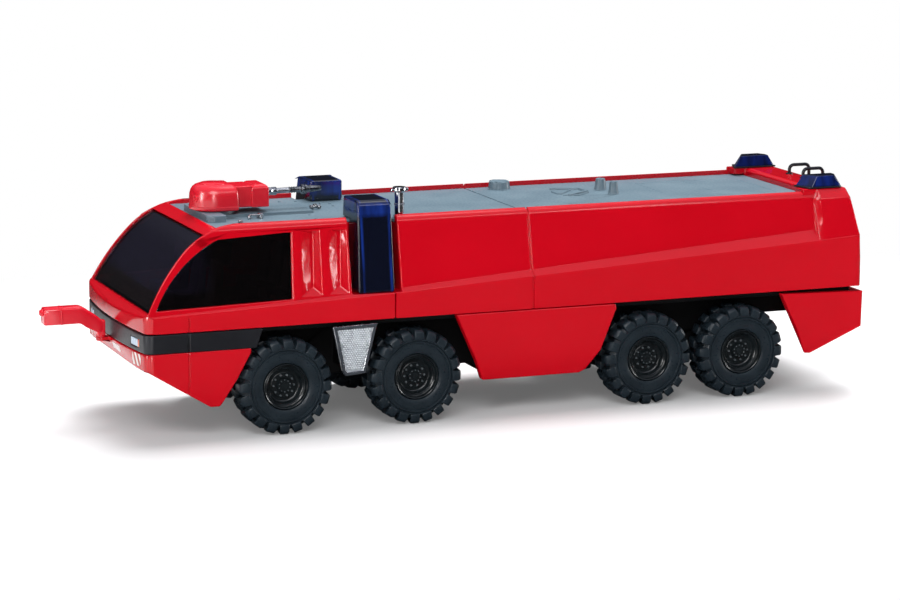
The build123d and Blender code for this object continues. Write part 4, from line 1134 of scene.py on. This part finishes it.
@dataclass
class LowerGroup:
    """The bumper band, lamps, skirts, steps and chassis."""

    shop: Workshop
    edge: float = 0.26
    amber_y: float = 13.9
    floor_low: Point = (19.1, 16.9, 9.6)  # the box round the step's sunk floor, with Y outward
    floor_high: Point = (25.6, 17.16, 16.7)
    stud: Point = (0.20, 0.15, 0.15)  # half width, depth, half height
    stud_taper: float = 0.62
    stud_columns: int = 16
    stud_rows: int = 20
    stud_pitch: Pair = (0.42, 0.325)
    stud_halves: Pair = (1.2, 2.75)
    stud_lean: float = 0.1
    stud_place: Point = (22.35, 17.03, 10.15)
    stripe_y: Pair = (11.7, 15.0)
    stripe_z: Pair = (12.45, 14.35)
    plate_y: Pair = (1.5, 5.6)
    plate_z: Pair = (12.95, 13.95)

    def build(self) -> None:
        """Builds and dresses every piece below the sill."""
        self.shop.dressed("bumper_band", SATIN_BLACK, edge=0.2)
        self.shop.dressed("headlamps", LAMP_CLEAR, LAMP_AMBER, edge=0.06, segments=2, change=self.split_lamps)
        self.shop.dressed("tail_lamps", LAMP_RED, edge=0.12)
        self.shop.dressed("chassis", UNDER_BLACK, edge=0.2)
        for node in ("front_skirt", "mid_skirt_left", "mid_skirt_right", "rear_skirt_left", "rear_skirt_right"):
            self.shop.dressed(node, RED, edge=self.edge)
        for side in Side:
            self.step(side)
            inner, outer = (y * side.value for y in self.stripe_y)
            self.shop.laid_on(f"hazard_panel_{side.name.lower()}", "front_skirt", (inner, outer), self.stripe_z,
                              (10, 4), 0.03, HAZARD)
        self.shop.laid_on("number_plate", "front_skirt", self.plate_y, self.plate_z, (8, 3), 0.05, PLATE_WHITE)

    def split_lamps(self, work: Work) -> None:
        """Cuts the outer ends off the headlamps' joined mesh as amber turn lamps."""
        for y in (self.amber_y, -self.amber_y):
            parts = [*work.verts, *work.edges, *work.faces]
            bmesh.ops.bisect_plane(work, geom=parts, plane_co=(0, y * MM, 0), plane_no=(0, 1, 0))
        for face in work.faces:
            face.material_index = 1 if abs(face.calc_center_median().y) > self.amber_y * MM else 0

    def silver_floor(self, work: Work) -> None:
        """Gives a step's sunk floor and its walls the silver finish."""
        for face in work.faces:
            x, y, z = face.calc_center_median()
            inside = (low * MM < value < high * MM
                      for low, value, high in zip(self.floor_low, (x, abs(y), z), self.floor_high))
            face.material_index = 1 if all(inside) else 0

    def step(self, side: Side) -> None:
        """Dresses a side's entry step and covers its sunk face with staggered studs."""
        name = f"entry_step_{side.name.lower()}"
        # rim=2 gives the rounding of the frame's edges the bright plating, which paints a highlight along the dark
        # grey frame's edges
        self.shop.dressed(name, STEP_FRAME, TREAD_FLOOR, CHROME, edge=0.09, segments=2, rim=2,
                          change=self.silver_floor)
        half, depth, high = self.stud
        work = prism([(half, 0, 0), (0, 0, high), (-half, 0, 0), (0, 0, -high)], Vector((0, side.value * depth, 0)))
        for vert in work.verts:
            if abs(vert.co.y) > depth / 3 * MM:
                vert.co.x *= self.stud_taper
                vert.co.z *= self.stud_taper
        studs = self.shop.studs.run_item(
            f"{name}_studs", from_bmesh(work, f"{name}_stud"), Columns=self.stud_columns, Rows=self.stud_rows,
            Pitch=self.stud_pitch[0] * MM, Rise=self.stud_pitch[1] * MM, Low_Half=self.stud_halves[0] * MM,
            High_Half=self.stud_halves[1] * MM, Lean=self.stud_lean * MM, Material=TREAD_SILVER.material())
        x, y, z = self.stud_place
        studs.data.transform(Matrix.Translation(Vector((x, side.value * y, z)) * MM))
        settle(studs, TREAD_SILVER, angle=30.0)


@dataclass
class MonitorGroup:
    """The roof turret and the bumper monitor."""

    shop: Workshop
    middle_x: float = 40.4
    low_z: float = 34.35
    dome_half: float = 4.08
    dome_back: float = 37.3
    corner: float = 0.55
    lid: Section = ((0.0, 0.0), (2.15, 0.0), (2.15, 0.06), (2.05, 0.12), (0.0, 0.12))
    lid_place: Pair = (40.6, 4.1)  # X, height above the dome's underside
    breech: tuple[Point, Point] = ((31.97, -2.88, 34.57), (34.9, 2.88, 38.23))
    breech_top: float = 36.0
    breech_round: float = 0.75
    neck: tuple[Point, Point] = ((34.6, -2.62, 34.62), (38.2, 2.62, 38.08))
    foot: Section = ((0.0, -1.0), (1.38, -1.0), (1.38, 0.02), (3.0, 0.02), (3.0, 0.12), (0.0, 0.12))
    port: Section = ((0.0, -0.12), (0.24, -0.12), (0.28, 0.0), (0.34, 0.13), (0.46, 0.13), (0.54, 0.02),
                     (0.54, -0.2))
    port_way: Point = (0.90, 0.43, 0.0)
    port_rise: float = 1.95
    walls: tuple[Pair, ...] = (  # height above the dome's underside, inset
        (0.0, 0.28), (0.08, 0.08), (0.2, 0.0), (0.62, 0.0), (0.7, 0.07), (1.6, 0.06), (2.5, 0.12), (3.1, 0.28),
        (3.55, 0.55), (3.88, 0.95), (4.06, 1.45), (4.12, 2.0),
    )
    barrel_origin: Point = (31.86, 0.0, 36.6)
    barrel_axis: Point = (-1.0, 0.0, 0.015)
    tip_start: Pair = (0.0, 4.1)
    barrel: Section = (
        (0.0, -0.02), (0.66, -0.02), (0.66, 0.9), (0.6, 0.98), (0.6, 1.1), (0.66, 1.18), (0.66, 1.92), (0.6, 2.0),
        (0.46, 2.02), (0.46, 4.1),
    )
    tip: Section = (
        (0.46, 4.1), *((radius, along + 0.42 * groove) for groove in range(4)
                       for radius, along in ((0.5, 4.16), (0.5, 4.34), (0.42, 4.4), (0.42, 4.52))),
        (0.5, 5.84), (0.5, 6.18), (0.74, 6.24), (0.79, 6.34), (0.79, 6.66), (0.74, 6.76), (0.6, 6.8),
        (0.72, 6.9), (0.72, 7.1), (0.62, 7.16), (0.58, 7.6), (0.54, 8.2), (0.48, 8.8), (0.42, 9.3), (0.38, 9.66),
        (0.3, 9.68), (0.26, 9.4), (0.0, 9.4),
    )
    peg: Section = ((0.0, 0.0), (0.16, 0.0), (0.16, 0.5), (0.0, 0.55))
    peg_place: Point = (-6.5, 0.6, 0.1)  # from the barrel's origin
    gun: tuple[tuple[float, float, float, float], ...] = (  # place along X, half width, low and high Z
        (68.93, 1.00, 17.32, 19.68), (68.88, 1.10, 17.20, 19.80), (68.74, 1.18, 17.12, 19.88),
        (66.22, 1.19, 17.11, 19.89), (66.17, 1.25, 17.06, 19.92), (65.97, 1.25, 17.06, 19.92),
        (65.92, 1.19, 17.11, 19.89), (63.30, 1.19, 17.11, 19.88), (62.95, 1.17, 17.04, 19.84),
        (62.50, 1.12, 16.75, 19.64), (62.10, 1.03, 16.42, 19.40), (61.60, 0.96, 16.15, 19.06),
        (60.90, 0.89, 15.80, 18.58), (60.30, 0.84, 15.50, 18.14), (59.70, 0.78, 15.30, 17.62),
        (59.30, 0.66, 15.60, 17.28),
    )
    gun_rounds: Pair = (0.62, 0.16)  # radii of its upper and lower corners
    gun_x: float = 59.45
    gun_post: tuple[Point, Point] = ((58.83, -0.66, 14.66), (60.15, 0.66, 17.3))
    gun_pin: Section = ((0.0, 13.97), (0.48, 13.97), (0.48, 14.7), (0.0, 14.7))
    collar_z: float = 14.67
    collar: Section = ((0.0, 0.0), (0.82, 0.0), (0.82, 0.12), (0.76, 0.18), (0.0, 0.2))
    nozzle: Section = ((0.0, -0.3), (0.58, -0.3), (0.58, 0.1), (0.5, 0.16), (0.5, 0.3), (0.36, 0.42), (0.3, 0.3),
                       (0.0, 0.3))
    nozzle_place: Point = (69.0, 0, 19.05)

    def build(self) -> None:
        """Builds and dresses both water cannons."""
        self.housing()
        self.barrel_form()
        self.monitor()

    def plan(self, inset: float) -> list[Pair]:
        """Gives the dome's outline from above: a flat back with rounded corners and a round front.

        Args:
            inset: how far the outline lies inside the widest one, in millimetres.

        Returns:
            Its (x, y) points, anticlockwise.
        """
        half = self.dome_half - inset
        back = self.dome_back + inset * 0.5
        corner = min(self.corner, half)
        right = [(back + corner - corner * math.cos(t), -half + corner - corner * math.sin(t)) for t in quarter(6)]
        front = [(self.middle_x + half * math.sin(t), -half * math.cos(t))
                 for t in (math.pi * k / 36 for k in range(37))]
        left = [(x, -y) for x, y in reversed(right)]
        return right + front + left

    def housing(self) -> None:
        """Lofts the turret's dome, and sets its lid, breech, neck, foot and sight ring."""
        work = lofted([[(x, y, self.low_z + rise) for x, y in self.plan(inset)] for rise, inset in self.walls])
        turned(self.lid, 48, (self.lid_place[0], 0, self.low_z + self.lid_place[1]), work=work)
        placed(work, "turret_dome", RAW_RED, "turret_housing", angle=38.0, body=Body.TURRET)
        work = block(*self.breech)
        high = [e for e in work.edges if all(v.co.z > self.breech_top * MM for v in e.verts)]
        bmesh.ops.bevel(work, geom=high, offset=self.breech_round * MM, offset_type="OFFSET", segments=5, profile=0.5,
                        affect="EDGES", clamp_overlap=False)
        soft_bevel(work, 0.16, 40.0, 3)
        placed(work, "turret_breech", RAW_RED, angle=None, body=Body.TURRET)
        work = block(*self.neck)
        soft_bevel(work, 0.22, 40.0, 3)
        placed(work, "turret_neck", RAW_RED, angle=None, body=Body.TURRET)
        work = turned(self.foot, 40, (self.middle_x, 0, self.low_z - 0.02))
        placed(work, "turret_foot", RAW_RED, angle=38.0, body=Body.TURRET)
        out = Vector(self.port_way).normalized()
        spot = Vector((self.middle_x, 0, self.low_z + self.port_rise)) + out * (self.dome_half - 0.1)
        work = turned(self.port, 28, tuple(spot), tuple(out))
        placed(work, "turret_port", RAW_RED, angle=50.0, body=Body.TURRET)

    def gun_ring(self, x: float, half: float, low: float, high: float) -> list[Point]:
        """Gives one cross-section of the bumper monitor, square below and broadly rounded above.

        Args:
            x: where it stands, in millimetres.
            half: its half width.
            low: its lowest Z.
            high: its highest Z.

        Returns:
            Its points in order round the X axis.
        """
        broad, small = self.gun_rounds
        broad = min(broad, half * 0.6)
        points: list[Point] = []
        for side, way, radius, steps in ((1, 1, broad, 6), (-1, -1, broad, 6), (-1, 1, small, 3), (1, -1, small, 3)):
            up, end = (1, high) if steps == 6 else (-1, low)
            corner = [(x, side * (half - radius + radius * math.cos(t)), end - up * radius + up * radius * math.sin(t))
                      for t in quarter(steps)]
            points += corner[::way]
        return points

    def barrel_form(self) -> None:
        """Turns the bright barrel and its darker, ringed end."""
        work = turned([*self.barrel, self.tip_start], 36, self.barrel_origin, self.barrel_axis)
        placed(work, "barrel_tube", CHROME, "turret_barrel", body=Body.TURRET)
        work = turned([self.tip_start, *self.tip], 32, self.barrel_origin, self.barrel_axis)
        x, y, z = (start + offset for start, offset in zip(self.barrel_origin, self.peg_place))
        for side in Side:
            turned(self.peg, 12, (x, side.value * y, z), (0, side.value, 0.4), work)
        placed(work, "barrel_tip", GUNMETAL, body=Body.TURRET)

    def monitor(self) -> None:
        """Dresses the bumper monitor, and adds its seam, nozzle ring and collar."""
        work = lofted([self.gun_ring(*station) for station in self.gun])
        post = block(*self.gun_post)
        soft_bevel(post, 0.17, 40.0, 3)
        turned(self.gun_pin, 24, (self.gun_x, 0, 0), work=work)
        gun = joined([from_bmesh(work, "gun"), from_bmesh(post, "post")], "monitor_form")
        settle(gun, RAW_RED, "bumper_monitor", angle=48.0, body=Body.MONITOR)
        work = turned(self.collar, 28, (self.gun_x, 0, self.collar_z))
        turned(self.nozzle, 24, self.nozzle_place, (1, 0, 0), work)
        placed(work, "monitor_rings", RAW_RED, angle=38.0, body=Body.MONITOR)


@dataclass
class WheelGroup:
    """One axle with its two wheels."""

    shop: Workshop
    axle: Body
    number: int
    centre_x: float
    centre_z: float = 7.8
    width: float = 5.8
    outer_y: float = 16.9
    lug_count: int = 20
    nut_count: int = 10
    carcass: Section = (  # from one bead to the tyre's middle
        (3.74, 2.2), (3.86, 2.46), (4.2, 2.62), (4.8, 2.72), (5.40, 2.68), (5.48, 2.66), (5.56, 2.86), (5.76, 2.86),
        (5.84, 2.64), (5.96, 2.62), (6.04, 2.82), (6.20, 2.82), (6.28, 2.58), (6.45, 2.42), (6.75, 2.15),
        (6.94, 1.95), (6.98, 1.2), (6.98, 0.0),
    )
    lug: Section = (
        (6.85, 0.06), (7.70, 0.2), (7.77, 0.55), (7.77, 2.0), (7.66, 2.42), (7.28, 2.74), (6.60, 2.87), (6.22, 2.86),
        (6.12, 2.70), (6.5, 2.2), (6.85, 1.8),
    )
    lug_half: float = 0.80
    lug_top: float = 7.5
    lug_narrow: float = 0.84
    lug_sweep: float = 0.12
    rod_short: float = 2.0
    rod_radii: Pair = (0.7, 0.75)
    rim: Section = (
        (0.0, -2.2), (3.5, -2.2), (3.74, -2.0), (3.74, 2.36), (3.68, 2.50), (3.56, 2.54), (3.46, 2.46),
        (3.40, 2.20), (3.34, 1.98), (3.16, 1.90), (3.04, 1.94), (2.94, 1.86), (2.80, 1.40), (2.66, 1.16),
        (2.44, 1.06), (2.16, 1.06), (2.08, 1.14), (1.98, 1.16), (1.30, 1.20), (1.22, 1.30), (1.15, 1.66),
        (1.05, 1.76), (0.86, 1.76), (0.80, 1.68), (0.60, 1.68), (0.52, 1.80), (0.0, 1.82),
    )

    def middle(self) -> float:
        """Distance of the tyre's middle from the centre plane, in millimetres."""
        return self.outer_y - self.width / 2

    def tyre(self) -> Piece:
        """Makes one tyre about the Y axis: its carcass and two rows of shoulder lugs, half a pitch apart."""
        section = [*self.carcass, *[(r, -y) for r, y in reversed(self.carcass[:-1])], self.carcass[0]]
        work = turned(section, 96, axis=(0, 1, 0))
        bmesh.ops.remove_doubles(work, verts=work.verts, dist=1e-7)
        parts = [from_bmesh(work, "carcass")]
        for row, phase in ((1, 0.0), (-1, 0.5)):
            outline = [(r, row * y, -self.lug_half) for r, y in self.lug]
            work = prism(outline, Vector((0, 0, 2 * self.lug_half)))
            for vert in work.verts:
                share = self.lug_narrow if vert.co.x > self.lug_top * MM else 1.0
                vert.co.z = vert.co.z * share + abs(vert.co.y) * self.lug_sweep
            bmesh.ops.recalc_face_normals(work, faces=work.faces)
            soft_bevel(work, 0.1, 28.0)
            parts.append(self.shop.ring.run_item("lug_row", from_bmesh(work, "lug"), Count=self.lug_count,
                                                 Phase=phase, Material=RUBBER.material()))
        return joined(parts, "tyre")

    def stud_ring(self, radius: float, size: float, low: float, height: float, sides: int, count: int,
                  phase: float) -> Piece:
        """Makes a ring of nuts or studs on the rim's face.

        Args:
            radius: the ring's radius in millimetres.
            size: each stud's radius.
            low: where its foot is along the axle.
            height: its height.
            sides: its number of sides.
            count: how many there are.
            phase: the ring's turn, in steps.

        Returns:
            The ring as one object.
        """
        work = turned([(0.0, 0.0), (size, 0.0), (size, height * 0.75), (size * 0.72, height), (0.0, height)], sides,
                      (radius, low, 0.0), (0, 1, 0))
        return self.shop.ring.run_item("stud_ring", from_bmesh(work, "stud"), Count=count, Phase=phase,
                                       Material=RIM_BLACK.material())

    def rim_meshes(self) -> list[Piece]:
        """Makes one rim about the Y axis, and apart from it the nuts and studs on its face."""
        face = from_bmesh(turned(self.rim, 72, axis=(0, 1, 0)), "rim_face")
        nuts = self.stud_ring(1.72, 0.19, 1.1, 0.34, 6, self.nut_count, 0.0)
        studs = self.stud_ring(0.95, 0.1, 1.7, 0.14, 8, self.nut_count, 0.5)
        rivets = self.stud_ring(2.3, 0.09, 1.0, 0.12, 8, 2 * self.nut_count, 0.25)
        return [joined([face, rivets], "rim"), joined([nuts, studs], "nuts")]

    def build(self) -> None:
        """Places both wheels and the rod between them."""
        tyre, (rim, nuts) = self.tyre(), self.rim_meshes()
        for side in Side:
            turn = Matrix.Identity(4) if side is Side.LEFT else Matrix.Rotation(math.pi, 4, "Z")
            step = Matrix.Translation(Vector((self.centre_x, side.value * self.middle(), self.centre_z)) * MM)
            # the nuts' lighter grey is a painted glint
            for source, finish, word, nodes in ((tyre, RUBBER, "tyre", [f"tyres_{self.number}"]),
                                                (rim, RIM_BLACK, "rim", [f"wheelset_{self.number}"]),
                                                (nuts, NUT_PAINTED_GLINT, "nuts", [])):
                mesh = source.data.copy()
                mesh.transform(step @ turn)
                piece = link(mesh, f"{word}_{self.number}_{side.name.lower()}")
                settle(piece, finish, *nodes, angle=38.0, body=self.axle)
        for piece in (tyre, rim, nuts):
            bpy.data.objects.remove(piece)
        reach, (end, radius) = self.middle() - self.rod_short, self.rod_radii
        rod = ((0, -reach), (end, -reach), (radius, 0.1 - reach), (radius, reach - 0.1), (end, reach), (0, reach))
        work = turned(rod, 28, (self.centre_x, 0, self.centre_z), (0, 1, 0))
        placed(work, f"axle_rod_{self.number}", UNDER_BLACK, body=self.axle)


# Studio


class Shines(Enum):
    """What a lamp lights: every surface, only what is dull, or only what gloss shows."""

    ALL = "all"
    DULL = "dull"
    GLOSS = "gloss"


@dataclass(frozen=True)
class Lamp:
    """A soft area lamp, in metres and watts. One that only gloss shows draws bright lines along rounded edges."""

    name: str
    place: Point
    target: Point
    size: Pair
    power: float
    shines: Shines = Shines.GLOSS

    def hang(self) -> None:
        """Hangs the lamp."""
        data = bpy.data.lights.new(self.name, "AREA")
        data.shape = "RECTANGLE"
        data.size, data.size_y = self.size
        data.energy = self.power
        lamp = link(data, self.name)
        lamp.location = self.place
        lamp.rotation_euler = (Vector(self.target) - Vector(self.place)).to_track_quat("-Z", "Y").to_euler()
        lamp.visible_glossy = self.shines is not Shines.DULL
        lamp.visible_diffuse = self.shines is not Shines.GLOSS


LAMPS = (
    Lamp("overhead", (-0.18, -0.22, 0.66), (0.0, 0.0, 0.0), (0.38, 0.66), 7.6, Shines.DULL),
    Lamp("camera_side", (0.24, 0.64, 0.56), (0.0, 0.0, 0.02), (0.5, 0.3), 2.8, Shines.ALL),
    Lamp("nose_card", (0.62, 0.38, 0.24), (0.02, 0.0, 0.02), (0.12, 0.24), 0.9, Shines.DULL),
    Lamp("sky_strip", (-0.22, -0.035, 0.68), (0.0, 0.0, 0.02), (0.26, 0.10), 0.16),
    Lamp("ledge_strip", (-0.29, 0.64, 0.56), (0.0, 0.0, 0.02), (0.30, 0.06), 0.3),
    Lamp("nose_strip", (0.73, 0.17, 0.15), (0.02, 0.0, 0.02), (0.12, 0.50), 3.6),
    Lamp("lens_strip", (0.30, 0.80, 0.19), (0.0, 0.0, 0.02), (0.05, 0.34), 1.5),
    Lamp("side_strip", (-0.67, 0.30, 0.07), (0.03, 0.017, 0.025), (0.016, 0.34), 0.5),
    Lamp("tail_strip", (-0.72, 0.05, 0.12), (-0.05, 0.0, 0.02), (0.14, 0.36), 3.0),
)


@dataclass
class Studio:
    """Floor, lamps, surroundings and camera. Radii and reaches on the floor are in metres."""

    camera_place: Point = (182.37, 458.24, 110.88)
    camera_target: Point = (-0.65, 0.0, 16.63)
    camera_roll: float = 0.393
    lens: float = 120.2
    clip: Pair = (0.01, 20.0)
    ambient: float = 0.32
    wall: Pair = (0.02, 0.66)
    floor_reach: float = 3.0
    floor_near: float = 0.11
    floor_gloss: float = 0.04
    bright_x: Pair = (0.052, 0.066)
    bright_y: Pair = (-0.11, -0.08)
    lit_radius: float = 0.10
    white_radius: float = 0.20

    def build(self) -> None:
        """Sets the whole studio up."""
        self.floor()
        self.world()
        for lamp in LAMPS:
            lamp.hang()
        self.camera()

    def floor(self) -> None:
        """Lays the pale floor, which keeps the shadow near the truck and shows white further out.

        Gloss sees it dark, except ahead of the nose.
        """
        reach = self.floor_reach
        work = bmesh.new()
        work.faces.new([work.verts.new((x, y, 0)) for x, y in ((-reach, -reach), (reach, -reach), (reach, reach),
                                                               (-reach, reach))])
        floor = from_bmesh(work, "studio_floor")
        sheet = NodeSheet("pale_floor")
        path, split, gloss = sheet.add("ShaderNodeLightPath").outputs, sheet.split(), 1.0 - self.floor_gloss
        tone = sheet.blend(sheet.spread(sheet.noise(6.0), 0.0, 1.0), (0.86, 0.865, 0.88), (0.88, 0.885, 0.895))
        bright = sheet.product(sheet.spread(split["X"], 0.0, gloss, *self.bright_x),
                               sheet.spread(split["Y"], 0.0, 1.0, *self.bright_y))
        dark = sheet.product(path["Is Glossy Ray"], sheet.maths("SUBTRACT", gloss, bright))
        sheet.shade(Base_Color=sheet.blend(dark, tone, (0.0, 0.0, 0.0)), Roughness=0.8, Specular_IOR_Level=0.1)
        away = sheet.add("ShaderNodeVectorMath", {0: sheet.scaled((1.0, 1.5, 1.0))}, operation="LENGTH")
        outer = sheet.spread(away.outputs["Value"], self.floor_near, 1.0, self.lit_radius, self.white_radius)
        glow = sheet.add("ShaderNodeEmission", {"Strength": 1.0})
        mix = sheet.add("ShaderNodeMixShader", {0: sheet.product(path["Is Camera Ray"], outer),
                                                1: sheet.shader.outputs[0], 2: glow.outputs[0]})
        sheet.feed(sheet.out, 0, mix.outputs[0])
        floor.data.materials.append(sheet.material)

    def world(self) -> None:
        """Gives the surroundings: white behind the truck, a dim even light on it, and a studio that gloss shows.

        Gloss sees a dark wall round the horizon, which pales towards the ceiling.
        """
        world = bpy.data.worlds.new("studio_surround")
        bpy.context.scene.world = world
        world.use_nodes = True
        tree = NodeTree(world.node_tree)
        path = tree.add("ShaderNodeLightPath").outputs
        place = tree.add("ShaderNodeTexCoord").outputs["Generated"]
        height = tree.add("ShaderNodeSeparateXYZ", {0: place}).outputs["Z"]
        ramp = tree.spread(height, *self.wall, 0.25, 0.75, interpolation_type="SMOOTHSTEP")
        straight = tree.maths("MAXIMUM", path["Is Camera Ray"], path["Is Transmission Ray"])
        gloss = tree.add("ShaderNodeMix", {0: path["Is Glossy Ray"], 2: self.ambient, 3: ramp}, data_type="FLOAT")
        power = tree.add("ShaderNodeMix", {0: straight, 2: gloss.outputs[0], 3: 1.0}, data_type="FLOAT")
        reflection_tint = tree.blend(path["Is Glossy Ray"], (1.0, 1.0, 1.0), (0.80, 0.84, 1.0))
        back = tree.add("ShaderNodeBackground", {"Color": reflection_tint, "Strength": power.outputs[0]})
        tree.add("ShaderNodeOutputWorld", {0: back.outputs[0]})

    def camera(self) -> None:
        """Sets the camera up at the photograph's angle and distance."""
        data = bpy.data.cameras.new("camera")
        data.sensor_width = 36.0
        data.lens = self.lens
        data.clip_start, data.clip_end = self.clip
        camera = link(data, "camera")
        place, target = Vector(self.camera_place) * MM, Vector(self.camera_target) * MM
        look = (target - place).to_track_quat("-Z", "Y").to_matrix().to_4x4()
        roll = Matrix.Rotation(math.radians(self.camera_roll), 4, "Z")
        camera.matrix_world = Matrix.Translation(place) @ look @ roll
        bpy.context.scene.camera = camera


def main() -> None:
    """Builds every sub-assembly in order, then the studio."""
    logging.basicConfig(level=logging.INFO, format="%(message)s")
    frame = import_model()
    shop = Workshop(frame)
    CabGroup(shop).build()
    TankGroup(shop).build()
    BeaconGroup(shop).build()
    LowerGroup(shop).build()
    MonitorGroup(shop).build()
    for number, (axle, centre_x) in enumerate(((Body.AXLE_1, 33.8), (Body.AXLE_2, 11.6), (Body.AXLE_3, -29.7),
                                               (Body.AXLE_4, -46.9)), start=1):
        WheelGroup(shop, axle, number, centre_x).build()
    Studio().build()
    bpy.context.scene.view_settings.view_transform = "Standard"


if __name__ == "__main__":
    main()
